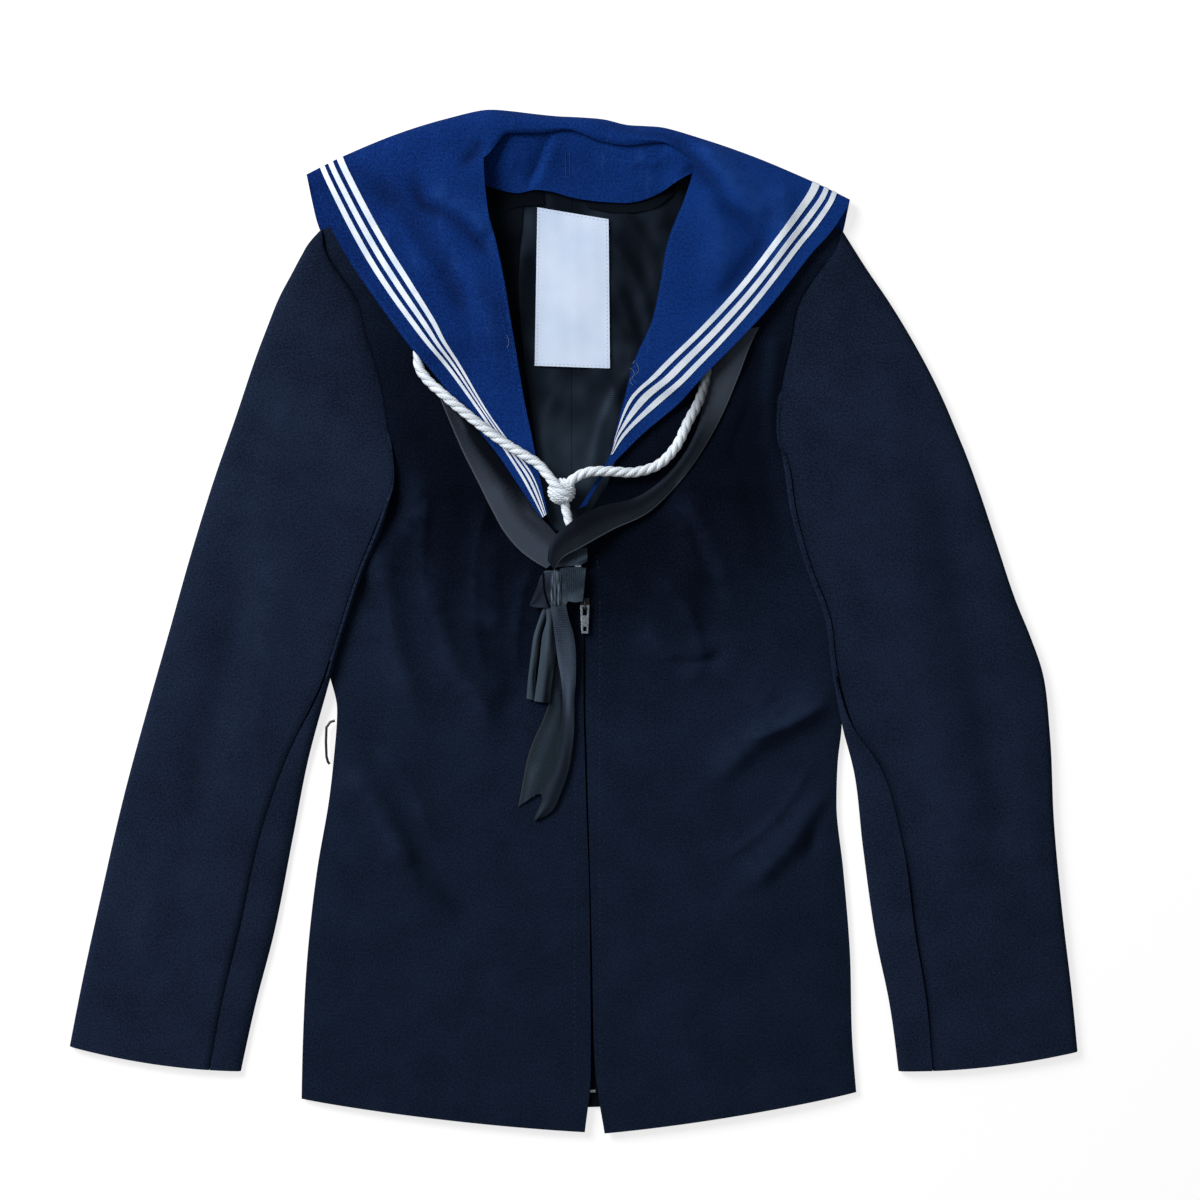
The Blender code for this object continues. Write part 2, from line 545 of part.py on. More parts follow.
# --------------------------------------------------------------------------------------------------
# Sleeves: a flattened tube of a top sleeve and an under sleeve
# --------------------------------------------------------------------------------------------------
def sleeve_sections(row):
    """(distance from the inner edge, height) of the top sleeve and of the under sleeve."""
    width = math.hypot(row.outer_x - row.inner_x, row.outer_y - row.inner_y)
    high = row.edge_height
    crown = CUFF_CROWN if high < FLAT_CUFF_HEIGHT else SLEEVE_CROWN
    fold = min(OUTER_FOLD, 0.3 * width)
    hind = max(row.hind, fold + 2.0)
    inner_top = SIDE_RISE + STEP
    start = dip = 0.0
    if row.joined:
        inner_top = row.under + (6.4 if row.under < 1.0 else 5.0)
        start = row.seam
        dip = 0.12 * (inner_top - row.under)

    def top(distance):
        share = distance / width
        level = inner_top + (high - inner_top) * share + crown * 4.0 * share * (1.0 - share)
        return level - dip * math.exp(-distance / 3.0)

    inner_end = width - fold
    over = [(place, top(place)) for place in (start + (inner_end - start) * share for share in TOP_SHARES)]
    over += [(width - 0.22 * fold, 0.80 * high), (width, 0.45 * high), (width - 0.3 * fold, 0.12 * high),
             (width - fold, 0.0), (width - hind, 0.0)]

    last = width - hind - SEAM
    span = min(1.0, last / (UNDER_END + 4.0))
    flat, slope, end = (span * value for value in (UNDER_FLAT, UNDER_SLOPE, UNDER_END))
    if row.joined:
        depth = inner_top - row.under
        seam_edge = row.seam - SEAM - 5.0 * math.exp(-row.seam / 4.5)
        under = [(seam_edge, top(seam_edge)),
                 (0.45 * min(row.seam, 5.0), row.under + 0.86 * depth),
                 (0.0, row.under + 0.5 * depth),
                 (1.6, row.under + 0.1 * depth),
                 (flat, row.under),
                 (slope, 0.64 * row.under)]
    else:
        under = [(BACK_INSET + share * (flat - BACK_INSET), row.under) for share in (0.0, 0.2, 0.4, 0.7, 1.0)]
        under += [(slope, 0.0)]
    return over, under + [(end, 0.0), (last, 0.0)]


def build_sleeve(side, rows, group):
    """side is -1 for the wearer's right sleeve and +1 for the left."""
    name = "right" if side < 0 else "left"
    top_grid, under_grid = [], []
    for number, row in enumerate(rows):
        inner = np.array([row.inner_x, row.inner_y], float)
        outer = np.array([row.outer_x, row.outer_y], float)
        width = np.linalg.norm(outer - inner)
        over, under = sleeve_sections(row)
        for section, grid in ((over, top_grid), (under, under_grid)):
            line = []
            for distance, height in section:
                share = distance / width
                x, y = inner + (outer - inner) * share
                if number == 0:
                    y += CUFF_BOW * 4.0 * share * (1.0 - share)
                line.append((x, y, height))
            grid.append(line)
    if side < 0:
        top_grid = [line[::-1] for line in top_grid]
    else:
        under_grid = [line[::-1] for line in under_grid]
    cloth("sleeve_top_" + name, top_grid, WOOL, WOOL_NAVY, group)
    cloth("sleeve_under_" + name, under_grid, WOOL, WOOL_NAVY, group)


# --------------------------------------------------------------------------------------------------
# Collar
# --------------------------------------------------------------------------------------------------
def wing_line(row):
    """Points of one wing section from its outer edge to its inner edge."""
    outer = np.array([row.outer_x, row.outer_y, row.outer_z], float)
    inner = np.array([row.inner_x, row.inner_y, row.inner_z], float)
    width = np.linalg.norm((inner - outer)[:2])
    first, second = row.inset / width, (row.inset + row.band) / width
    shares = [0.0, first, second] + [second + (1.0 - second) * share for share in WING_SHARES]
    points = []
    for share in shares:
        point = outer + (inner - outer) * share
        point[1] += row.bow * 4.0 * share * (1.0 - share)
        point[2] = outer[2] + (inner[2] - outer[2]) * smoothstep(share) if width > 30 else point[2]
        points.append(point)
    return points


def collar_grid():
    """Rows from the flap's edge over the shoulder fold to the points, columns from the wearer's right."""
    right_fold = wing_line(WING_RIGHT_OF_WEARER[0])
    left_fold = wing_line(WING_LEFT_OF_WEARER[0])
    rows = []
    for up in FLAP_ROWS:
        y = FLAP_EDGE_Y + up
        line = []
        for fold, sign in ((right_fold, -1.0), (left_fold, 1.0)):
            half = float(np.interp(y, *zip(*FLAP_SIDES)))
            reaches = [half - inset for inset in TAPE_EDGES]
            reaches += [reaches[-1] + (abs(fold[-1][0]) - reaches[-1]) * share for share in WING_SHARES]
            line.append([np.array([sign * reach, y, COLLAR_UNDER]) for reach in reaches])
        ends = line[0][-1][0], line[1][-1][0]
        span = ends[1] - ends[0]
        middle = [np.array([ends[0] + span * share, y, COLLAR_UNDER]) for share in MIDDLE_COLUMNS]
        rows.append(line[0] + middle + line[1][::-1])
    middle = [np.array([*along(SILHOUETTE, share), NECK_FOLD_TOP]) for share in MIDDLE_COLUMNS]
    fold_row = right_fold + middle + left_fold[::-1]
    narrower, lower = FOLD_TUCK
    rows.append([np.array([point[0] * narrower, point[1] + lower, COLLAR_UNDER]) for point in fold_row])
    rows.append(fold_row)
    for index, table, height in ((1, ROLL_TOP, ROLL_HEIGHT), (2, ROLL_EDGE, ROLL_EDGE_HEIGHT)):
        right, left = wing_line(WING_RIGHT_OF_WEARER[index]), wing_line(WING_LEFT_OF_WEARER[index])
        middle = [np.array([*along(table, share), height]) for share in MIDDLE_COLUMNS]
        rows.append(right + middle + left[::-1])
    return rows


def build_collar(group):
    rows = collar_grid()
    side = 3 + len(WING_SHARES)
    middle = len(MIDDLE_COLUMNS)
    wing_start = len(rows) - 1
    total = 2 * side + middle
    longest = max(len(WING_RIGHT_OF_WEARER), len(WING_LEFT_OF_WEARER))
    for index in range(3, longest):
        line = [None] * total
        if index < len(WING_RIGHT_OF_WEARER):
            line[:side] = wing_line(WING_RIGHT_OF_WEARER[index])
        if index < len(WING_LEFT_OF_WEARER):
            line[side + middle:] = wing_line(WING_LEFT_OF_WEARER[index])[::-1]
        rows.append(line)

    def skip(row, column):
        corners = (*rows[row][column:column + 2], *rows[row + 1][column:column + 2])
        neck = row >= wing_start and side - 1 <= column < side + middle
        return neck or any(corner is None for corner in corners)

    cloth("collar", rows, COTTON, COTTON_BLUE, group, face_down=True, skip=skip)
    build_collar_tapes(rows, side, middle, group)


def mitre_offset(before, here, after, across, distance):
    """Offset of a bent strip's point so that both stretches beside it move out by the same distance."""
    normals = []
    for run in (here - before, after - here):
        if np.linalg.norm(run) > 0.0:
            normal = np.cross(run, across)
            normals.append(normal / np.linalg.norm(normal))
    bisector = sum(normals)
    bisector = bisector / np.linalg.norm(bisector)
    return bisector * distance / max(float(bisector @ normals[0]), 0.5)


def build_collar_tapes(rows, side, middle, group):
    """Three tapes run from one point of the collar round the flap's edge to the other point."""
    total = 2 * side + middle
    last_right, last_left = (len(FLAP_ROWS) + 1 + stop for stop in TAPE_STOPS)
    first, second = [], []
    for index in range(last_right, 2, -1):
        first.append(rows[index][1])
        second.append(rows[index][2])
    first.append(rows[1][1])
    second.append(rows[2][2])
    for column in range(3, total - 3):
        first.append(rows[1][column])
        second.append(rows[2][column])
    first.append(rows[1][total - 2])
    second.append(rows[2][total - 3])
    for index in range(3, last_left + 1):
        first.append(rows[index][total - 2])
        second.append(rows[index][total - 3])
    first, second = np.array(first), np.array(second)
    count = len(first)
    for number in range(TAPE_COUNT):
        start = number * TAPE_PITCH / TAPE_BAND
        stop = (number * TAPE_PITCH + TAPE_WIDTH) / TAPE_BAND
        grid = []
        for i in range(count):
            before, after = first[max(i - 1, 0)], first[min(i + 1, count - 1)]
            lift = mitre_offset(before, first[i], after, first[i] - second[i], TAPE + LAY)
            a = first[i] + (second[i] - first[i]) * start + lift
            b = first[i] + (second[i] - first[i]) * stop + lift
            grid.append([tuple(a), tuple(b)])
        cloth("collar_tape_%d" % (number + 1), grid, TAPE, TAPE_WHITE, group)


def build_neck_band(group):
    grid = []
    shares = np.linspace(0.0, 1.0, BAND_COLUMNS)
    for level, height in enumerate(BAND_HEIGHTS[::-1]):
        share_up = level / (len(BAND_HEIGHTS) - 1)
        line = []
        for share in shares:
            low, high = along(BAND_LOW, share), along(BAND_TOP, share)
            x, y = low + (high - low) * share_up
            end_drop = BAND_END_DROP * math.exp(-min(share, 1.0 - share) / BAND_END_RUN) * share_up
            line.append((x, y, height - end_drop))
        grid.append(line)
    cloth("neck_band", grid, COTTON, COTTON_BLUE, group)


# --------------------------------------------------------------------------------------------------
# Neck opening: lining and label
# --------------------------------------------------------------------------------------------------
def lining_top(lifted):
    return WOOL + SEAM + COTTON + STEP * lifted


def build_lining(group):
    right, left = [], []
    for row in LINING_ROWS:
        height = lining_top(row.lifted)
        right.append([(x, row.y, height) for x in np.linspace(row.right, LINING_CENTRE - SEAM / 2, 4)])
        left.append([(x, row.y, height) for x in np.linspace(LINING_CENTRE + SEAM / 2, row.left, 4)])
    cloth("lining_right", right, COTTON, LINING_GREY, group)
    cloth("lining_left", left, COTTON, LINING_GREY, group)


def build_label(group):
    low_a, low_b, top_b, top_a = (np.array(corner, float) for corner in LABEL_CORNERS)
    grid = []
    for up in np.linspace(0.0, 1.0, 4):
        a, b = low_a + (top_a - low_a) * up, low_b + (top_b - low_b) * up
        grid.append([(*(a + (b - a) * share), lining_top(1) + SEAM + COTTON)
                     for share in np.linspace(0.0, 1.0, 3)])
    cloth("label", grid, COTTON, TAPE_WHITE, group)


# --------------------------------------------------------------------------------------------------
# Zip
# --------------------------------------------------------------------------------------------------
def build_zip(group):
    low = WOOL + SEAM
    lengths = np.linspace(ZIP_TAPE_ENDS[0], ZIP_TAPE_ENDS[1], 7)
    edges = [ZIP_CENTRE + ZIP_TAPE_WIDTH * (share - 0.5) for share in (0.0, 0.5, 1.0)]
    grid = [[(x, y, low + ZIP_TAPE_WALL) for x in edges] for y in lengths]
    cloth("zip_tape", grid, ZIP_TAPE_WALL, WOOL_NAVY, group)


def hide_cutter(obj):
    obj.hide_render = True
    obj.display_type = "WIRE"


def solid_copy(curve_object, group):
    """A welded mesh copy of a curve, for a Boolean; the curve is removed."""
    bpy.context.view_layer.update()
    evaluated = curve_object.evaluated_get(bpy.context.evaluated_depsgraph_get())
    mesh = bpy.data.meshes.new_from_object(evaluated)
    solid = bmesh.new()
    solid.from_mesh(mesh)
    bmesh.ops.remove_doubles(solid, verts=solid.verts, dist=WELD)
    solid.to_mesh(mesh)
    solid.free()
    obj = bpy.data.objects.new(curve_object.name + "_solid", mesh)
    group.objects.link(obj)
    hide_cutter(obj)
    bpy.data.objects.remove(curve_object, do_unlink=True)
    return obj


def combine(obj, operation, other):
    step = obj.modifiers.new(other.name, "BOOLEAN")
    step.operation = operation
    step.object = other


def build_slider_and_pull(group, cutters):
    """The slider's body with the bridge that holds the pull, and the pull with its fork and its eye."""
    x, y, z = PIVOT
    middle = 0.5 * (SLIDER["low"] + SLIDER["high"])
    size = (SLIDER["width"], SLIDER["length"], SLIDER["high"] - SLIDER["low"])
    body = block("zip_slider", size, (x, y + SLIDER["forward"], middle), METAL_BLACK, group, 0.6)
    front, rear = y + BRIDGE["front"], y + BRIDGE["rear"]
    foot, rise, top = SLIDER["high"] - 0.8, z + BRIDGE["rise"], z + BRIDGE["top"]
    shoulder = BRIDGE["shoulder"]
    arch = [(x, front, foot), (x, front, rise), (x, front - shoulder, top),
            (x, rear + shoulder, top), (x, rear, rise), (x, rear, foot)]
    bridge = tube("zip_bridge", arch, BRIDGE["wire"], METAL_BLACK, cutters)
    combine(body, "UNION", solid_copy(bridge, cutters))

    plate = block("zip_pull", (PULL["width"], PULL["length"], PULL["wall"]), PIVOT, METAL, group, 0.35)
    for vertex in plate.data.vertices:
        vertex.co.y -= 0.5 * (PULL["length"] - PULL["bar"]) * MM
        if vertex.co.y < -0.5 * PULL["length"] * MM:
            vertex.co.x *= PULL["taper"]
    for label, width, length, start in PULL_HOLES:
        hole = box_object(label, (width, length, 5 * PULL["wall"]), (x, y - start - 0.5 * length, z), cutters)
        hide_cutter(hole)
        combine(plate, "DIFFERENCE", hole)


# --------------------------------------------------------------------------------------------------
# Ribbon, bow and lanyard
# --------------------------------------------------------------------------------------------------
def build_strip(name, rows, group):
    """A ribbon through sections that run up or down the garment, with a slight camber."""
    grid = []
    for row in rows:
        a = np.array([row.left_x, row.left_y], float)
        b = np.array([row.right_x, row.right_y], float)
        line = []
        for share in (0.0, 0.5, 1.0):
            x, y = a + (b - a) * share
            line.append((x, y, row.height + RIBBON_CAMBER * 4.0 * share * (1.0 - share)))
        grid.append(line)
    step = np.array(grid[1][0]) - np.array(grid[0][0])
    across = np.array(grid[0][-1]) - np.array(grid[0][0])
    if np.cross(across, step)[2] < 0.0:
        grid = [line[::-1] for line in grid]
    cloth(name, grid, COTTON, SATIN_BLACK, group)


def build_bow(group):
    build_strip("ribbon_right", RIBBON_RIGHT_OF_WEARER, group)
    build_strip("ribbon_left", RIBBON_LEFT_OF_WEARER, group)
    build_strip("bow_loop", BOW_LOOP, group)
    build_strip("bow_tail_front", FRONT_TAIL, group)
    build_strip("bow_tail_back", BACK_TAIL, group)
    for name, rows in BOW_LEAVES:
        build_strip(name, rows, group)
    knot = BOW_KNOT
    block("bow_knot", (2 * knot["half_width"], 2 * knot["half_length"], knot["high"] - knot["low"]),
          (knot["x"], knot["y"], 0.5 * (knot["low"] + knot["high"])), SATIN_BLACK, group, 1.6)


def build_lanyard(group):
    tube("lanyard", smooth_route(LANYARD_ROUTE, ROPE_STEP), ROPE_RADIUS, ROPE_WHITE, group)
    tube("lanyard_tail", smooth_route(LANYARD_TAIL, TAIL_STEP), ROPE_RADIUS, ROPE_WHITE, group)
    mesh = bpy.data.meshes.new("lanyard_knot")
    solid = bmesh.new()
    bmesh.ops.create_uvsphere(solid, u_segments=12, v_segments=8, radius=KNOT_RADIUS * MM)
    solid.to_mesh(mesh)
    solid.free()
    obj = bpy.data.objects.new("lanyard_knot", mesh)
    obj.location = Vector(KNOT_CENTRE) * MM
    group.objects.link(obj)
    finish(obj, ROPE_WHITE)


def main():
    clear_scene()
    parts = collection("sailor_jumper")
    cutters = collection("cutters")
    build_back(parts)
    build_fronts(parts)
    build_sleeve(-1, SLEEVE_RIGHT_OF_WEARER, parts)
    build_sleeve(1, SLEEVE_LEFT_OF_WEARER, parts)
    build_collar(parts)
    build_neck_band(parts)
    build_lining(parts)
    build_label(parts)
    build_zip(parts)
    build_slider_and_pull(parts, cutters)
    build_bow(parts)
    build_lanyard(parts)
    tube("belt_hook", HOOK_ROUTE, HOOK_RADIUS, METAL_BLACK, parts)


main()
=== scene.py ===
"""Looks of a navy sailor jumper that lies flat on its back.

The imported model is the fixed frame.  Every table below is in millimetres in that frame: the surface is
z = 0, +Y runs from the hem to the collar and +X to the wearer's left.  Meshes are made in metres.
"""

import logging
import math
from dataclasses import dataclass
from enum import Enum
from itertools import zip_longest
from typing import NamedTuple, Optional, Sequence

import bpy
import numpy as np
from bpy.types import Material, NodeSocket, NodeTree, Object
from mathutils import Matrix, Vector
from mathutils.bvhtree import BVHTree


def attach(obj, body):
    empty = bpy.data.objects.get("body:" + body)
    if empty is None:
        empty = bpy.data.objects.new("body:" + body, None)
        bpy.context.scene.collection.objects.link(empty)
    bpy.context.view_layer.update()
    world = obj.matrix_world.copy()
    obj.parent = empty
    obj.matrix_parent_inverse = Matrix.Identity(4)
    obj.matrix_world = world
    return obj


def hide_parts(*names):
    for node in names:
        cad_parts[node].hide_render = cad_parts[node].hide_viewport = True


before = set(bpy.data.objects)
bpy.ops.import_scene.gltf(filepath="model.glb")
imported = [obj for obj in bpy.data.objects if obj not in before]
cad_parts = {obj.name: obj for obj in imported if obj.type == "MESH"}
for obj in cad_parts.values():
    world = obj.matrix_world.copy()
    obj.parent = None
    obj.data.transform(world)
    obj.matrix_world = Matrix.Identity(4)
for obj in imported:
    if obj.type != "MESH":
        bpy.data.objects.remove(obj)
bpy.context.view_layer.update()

LOG = logging.getLogger("jumper")

MM = 0.001
TINY = 1e-6
UV_NAME = "cloth"
# the mesh attribute that carries painted highlight on ridges and painted shade in folds and seams
FOLD_SHADING_NAME = "wear_and_fold_shading"

Pair = tuple[float, float]
Triple = tuple[float, float, float]
Line = tuple[Pair, ...]
Array = np.ndarray
# points and faces, and the same with texture places
Block = tuple[Array, list[list[int]]]
Shape = tuple[Array, list[list[int]], Array]


def table(kind: type, *rows: tuple) -> tuple:
    """Rows of one kind, written as plain tuples."""
    return tuple(kind(*row) for row in rows)


# CURVES AND SURFACES THROUGH TABLES OF POINTS
def smoothstep(value: Array) -> Array:
    """0 to 1 with level ends."""
    value = np.clip(value, 0.0, 1.0)
    return value * value * (3.0 - 2.0 * value)


def cubic_through(knots: Array, values: Array, places: Array, level: bool = False) -> Array:
    """A smooth curve through points.

    Args:
        knots: the n places of the points along the curve, rising.
        values: the n points, n by d.
        places: the m places to read the curve at.
        level: keeps each stretch between its two points, so that it never swings past them.

    Returns:
        The m points on the curve, m by d.
    """
    steps = np.diff(knots)
    slopes = np.diff(values, axis=0) / steps[:, None]
    tangents = np.empty_like(values)
    if len(knots) == 2:
        tangents[:] = slopes[0]
    else:
        before, after = steps[:-1, None], steps[1:, None]
        tangents[1:-1] = (slopes[:-1] * after + slopes[1:] * before) / (before + after)
        tangents[0] = 1.5 * slopes[0] - 0.5 * tangents[1]
        tangents[-1] = 1.5 * slopes[-1] - 0.5 * tangents[-2]
        if level:
            limit = 2.5 * np.minimum(np.abs(slopes[:-1]), np.abs(slopes[1:]))
            limit *= slopes[:-1] * slopes[1:] > 0.0
            tangents[1:-1] = np.clip(tangents[1:-1], -limit, limit)
    index = np.clip(np.searchsorted(knots, places, side="right") - 1, 0, len(knots) - 2)
    step = steps[index][:, None]
    share = (places - knots[index])[:, None] / step
    square, cube = share * share, share * share * share
    return (
        (2 * cube - 3 * square + 1) * values[index]
        + (cube - 2 * square + share) * step * tangents[index]
        + (3 * square - 2 * cube) * values[index + 1]
        + (cube - square) * step * tangents[index + 1]
    )


def unit(vectors: Array) -> Array:
    """The vectors, made one long."""
    return vectors / np.linalg.norm(vectors, axis=-1, keepdims=True)


def run_along(path: Array) -> Array:
    """The length along a path at each of its points."""
    return np.concatenate([[0.0], np.cumsum(np.linalg.norm(np.diff(path, axis=0), axis=1))])


def route_through(points: Sequence[Sequence[float]], step: float) -> Array:
    """Points about a given distance apart on a smooth curve through a route's own points.

    Args:
        points: the route's own points, in mm.
        step: the distance between the points returned, in mm.

    Returns:
        The close points, evenly spaced along the curve.
    """
    own = np.asarray(points, float)
    knots = run_along(own)
    fine = cubic_through(knots, own, np.linspace(0.0, knots[-1], 40 * len(own)))
    reach = run_along(fine)
    places = np.linspace(0.0, reach[-1], max(2, int(round(reach[-1] / step))) + 1)
    return np.stack([np.interp(places, reach, fine[:, k]) for k in range(own.shape[1])], axis=1)


@dataclass
class SmoothSheet:
    """A smooth surface through a grid of points, in which some points may be missing (not a number)."""

    control: Array

    def __post_init__(self) -> None:
        """Works out the knots along the rows and the columns from mean distances."""
        self.row_knots = self._knots(self.control)
        self.column_knots = self._knots(self.control.transpose(1, 0, 2))

    @staticmethod
    def _knots(grid: Array) -> Array:
        """Running mean distance from each line of the grid to the next."""
        gaps = np.nanmean(np.linalg.norm(np.diff(grid, axis=0), axis=2), axis=1)
        return np.concatenate([[0.0], np.cumsum(np.maximum(gaps, 0.2))])

    @staticmethod
    def spread(knots: Array, step: float) -> Array:
        """Places at most a step apart, every knot among them."""
        runs = [np.linspace(a, b, max(1, math.ceil((b - a) / step)) + 1)[1:] for a, b in zip(knots[:-1], knots[1:])]
        return np.concatenate([knots[:1], *runs])

    def at(self, rows: Array, columns: Array) -> Array:
        """Reads the surface at places along its rows and columns.

        Args:
            rows: places along the row knots.
            columns: places along the column knots.

        Returns:
            A grid of points, with missing points where the surface has none.
        """
        width = self.control.shape[1]
        lines = np.full((len(rows), width, 3), np.nan)
        for column in range(width):
            valid = np.flatnonzero(~np.isnan(self.control[:, column, 0]))
            self._fill(lines[:, column], self.row_knots, self.control[:, column], valid, rows)
        points = np.full((len(rows), len(columns), 3), np.nan)
        for row in range(len(rows)):
            valid = np.flatnonzero(~np.isnan(lines[row, :, 0]))
            for run in np.split(valid, np.flatnonzero(np.diff(valid) > 1) + 1):
                self._fill(points[row], self.column_knots, lines[row], run, columns)
        return points

    @staticmethod
    def _fill(out: Array, knots: Array, values: Array, run: Array, places: Array) -> None:
        """Writes the curve through one run of points into the places that it reaches.

        Args:
            out: the points to write, one for each place.
            knots: the places of all the points.
            values: all the points.
            run: the numbers of the points in the run.
            places: where the curve is read.
        """
        if len(run) < 2:
            return
        low, high = run[0], run[-1] + 1
        inside = (places >= knots[low] - TINY) & (places <= knots[high - 1] + TINY)
        if inside.any():
            out[inside] = cubic_through(knots[low:high], values[low:high], places[inside], level=True)

    def dense(self, step: float) -> Array:
        """The surface with its points at most a step apart, in mm."""
        return self.at(self.spread(self.row_knots, step), self.spread(self.column_knots, step))


@dataclass(frozen=True)
class Crease:
    """A soft ridge (+) or trough (-) along a line, seen from above, in mm."""

    line: Line
    height: float
    left: float
    right: float
    sharp: bool = False
    stretch: float = 6.0
    taper: float = 0.3

    def lift(self, x: Array, y: Array) -> Array:
        """Works out how the crease lifts the cloth.

        Args:
            x: places along X, in mm.
            y: places along Y, in mm.

        Returns:
            The height that it adds at each place.
        """
        fine = route_through(self.line, self.stretch)
        nearest = np.full(x.shape, np.inf)
        side, share = np.zeros(x.shape), np.zeros(x.shape)
        count = len(fine) - 1
        for number, (start, end) in enumerate(zip(fine[:-1], fine[1:])):
            run = end - start
            dx, dy = x - start[0], y - start[1]
            along = np.clip((dx * run[0] + dy * run[1]) / float(run @ run), 0.0, 1.0)
            distance = np.hypot(dx - along * run[0], dy - along * run[1])
            closer = distance < nearest
            nearest = np.where(closer, distance, nearest)
            side = np.where(closer, run[0] * dy - run[1] * dx, side)
            share = np.where(closer, (number + along) / count, share)
        reach = np.where(side > 0.0, self.left, self.right)
        fade = smoothstep(share / self.taper + 0.35) * smoothstep((1.0 - share) / self.taper + 0.35)
        if self.sharp:
            # a narrow, slightly rounded ridge with hollow sides
            profile = np.exp(-(np.sqrt(nearest**2 + 1.2) - 1.1) / reach * 1.6)
        else:
            profile = np.exp(-((nearest / reach) ** 2))
        return self.height * fade * profile


def relief(creases: Sequence[Crease], x: Array, y: Array) -> Array:
    """The height that several creases add together."""
    return sum((crease.lift(x, y) for crease in creases), np.zeros(np.shape(x)))


# MESHES
def deselect_all() -> None:
    """Nothing is selected afterwards."""
    for obj in bpy.context.selected_objects:
        obj.select_set(False)


def make_active(obj: Object) -> None:
    """Selects one object alone and makes it active.

    Args:
        obj: the object.
    """
    deselect_all()
    obj.select_set(True)
    bpy.context.view_layer.objects.active = obj


def mesh_object(name: str, points: Array, faces: Sequence[Sequence[int]], uv: Array) -> Object:
    """An object from points in mm.

    Args:
        name: the object's name.
        points: n by 3, in mm.
        faces: lists of point numbers.
        uv: n by 2 texture places, one for each point.

    Returns:
        The new object, linked to the scene.
    """
    mesh = bpy.data.meshes.new(name)
    mesh.from_pydata((np.asarray(points) * MM).tolist(), [], [list(face) for face in faces])
    layer = mesh.uv_layers.new(name=UV_NAME)
    loops = np.empty(len(mesh.loops), np.int32)
    mesh.loops.foreach_get("vertex_index", loops)
    layer.data.foreach_set("uv", np.ascontiguousarray(uv[loops], np.float32).ravel())
    obj = bpy.data.objects.new(name, mesh)
    bpy.context.scene.collection.objects.link(obj)
    return obj


def taken(obj: Object) -> Block:
    """Takes the points and faces of a shape that was modelled for copying.

    Args:
        obj: the shape, which is deleted.

    Returns:
        Its points and its faces.
    """
    points = np.array([vertex.co[:] for vertex in obj.data.vertices])
    faces = [list(face.vertices) for face in obj.data.polygons]
    bpy.data.objects.remove(obj, do_unlink=True)
    return points, faces


class Weave(Enum):
    """How a cloth's texture places follow it."""

    PLAN = "along a direction seen from above"
    RUN = "share across and length along"


@dataclass
class Cloth:
    """A panel of cloth made from a grid of points."""

    name: str
    grid: Array
    wall: float
    face_down: bool = False
    weave: Weave = Weave.PLAN
    grain_deg: float = 0.0
    # 1 where the cloth is painted lighter on a ridge as painted highlight, -1 where it is painted darker in a fold or a
    # seam as painted shade
    wear_and_fold_shading: Optional[Array] = None

    def places(self) -> Array:
        """Works out where each point of the grid lies in the weave.

        Returns:
            Texture places in metres, or a share across and metres along.
        """
        if self.weave is Weave.PLAN:
            turn = math.radians(self.grain_deg)
            x, y = self.grid[..., 0] * MM, self.grid[..., 1] * MM
            return np.stack([x * math.cos(turn) + y * math.sin(turn), y * math.cos(turn) - x * math.sin(turn)], -1)
        rows, columns = self.grid.shape[:2]
        steps = np.nanmean(np.linalg.norm(np.diff(self.grid, axis=0), axis=2), axis=1)
        along = np.concatenate([[0.0], np.cumsum(steps)]) * MM
        across = np.linspace(0.0, 1.0, columns)
        return np.stack([np.tile(across, (rows, 1)), np.tile(along[:, None], (1, columns))], -1)

    def build(self, material: Material) -> Object:
        """Makes the panel with its wall on the inner side.

        Args:
            material: the cloth's finish.

        Returns:
            The finished object.
        """
        rows, columns = self.grid.shape[:2]
        valid = ~np.isnan(self.grid[..., 0])
        number = np.full((rows, columns), -1)
        number[valid] = np.arange(valid.sum())
        whole = valid[:-1, :-1] & valid[:-1, 1:] & valid[1:, 1:] & valid[1:, :-1]
        corners = np.stack([number[:-1, :-1], number[:-1, 1:], number[1:, 1:], number[1:, :-1]], -1)[whole]
        if self.face_down:
            corners = corners[:, ::-1]
        used = np.unique(corners)
        again = np.full(valid.sum(), -1)
        again[used] = np.arange(len(used))
        obj = mesh_object(self.name, self.grid[valid][used], again[corners].tolist(), self.places()[valid][used])
        obj.data.materials.append(material)
        # stores the painted highlight and shade of the folds for the finish
        if self.wear_and_fold_shading is not None:
            layer = obj.data.attributes.new(FOLD_SHADING_NAME, "FLOAT", "POINT")
            layer.data.foreach_set("value", self.wear_and_fold_shading[valid][used].astype(np.float32))
        wall = obj.modifiers.new("wall", "SOLIDIFY")
        wall.thickness = self.wall * MM
        wall.offset = -1.0
        make_active(obj)
        bpy.ops.object.modifier_apply(modifier=wall.name)
        places = np.empty(3 * len(obj.data.vertices), np.float32)
        obj.data.vertices.foreach_get("co", places)
        places[2::3] = np.maximum(places[2::3], 0.0)
        obj.data.vertices.foreach_set("co", places)
        bpy.ops.object.shade_smooth_by_angle(angle=math.radians(50))
        return obj


def dress(obj: Object, slot: str, *nodes: str) -> None:
    """Makes a piece ride on the body, in place of CAD nodes.

    Args:
        obj: the piece.
        slot: the name of its slot; not used.
        nodes: the nodes that it stands for, if any.
    """
    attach(obj, "root")
    if nodes:
        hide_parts(*nodes)


def carried(path: Array) -> tuple[Array, Array]:
    """Carries a cross section along a path without twisting it.

    Args:
        path: the path's points.

    Returns:
        The directions of the section's side and top at each point.
    """
    forward = unit(np.gradient(path, axis=0))
    side = np.cross(forward[0], (0.0, 0.0, 1.0))
    if np.linalg.norm(side) < 0.1:
        side = np.array((1.0, 0.0, 0.0))
    sides = []
    for ahead in forward:
        side = unit(side - ahead * float(side @ ahead))
        sides.append(side)
    return np.array(sides), np.cross(sides, forward)


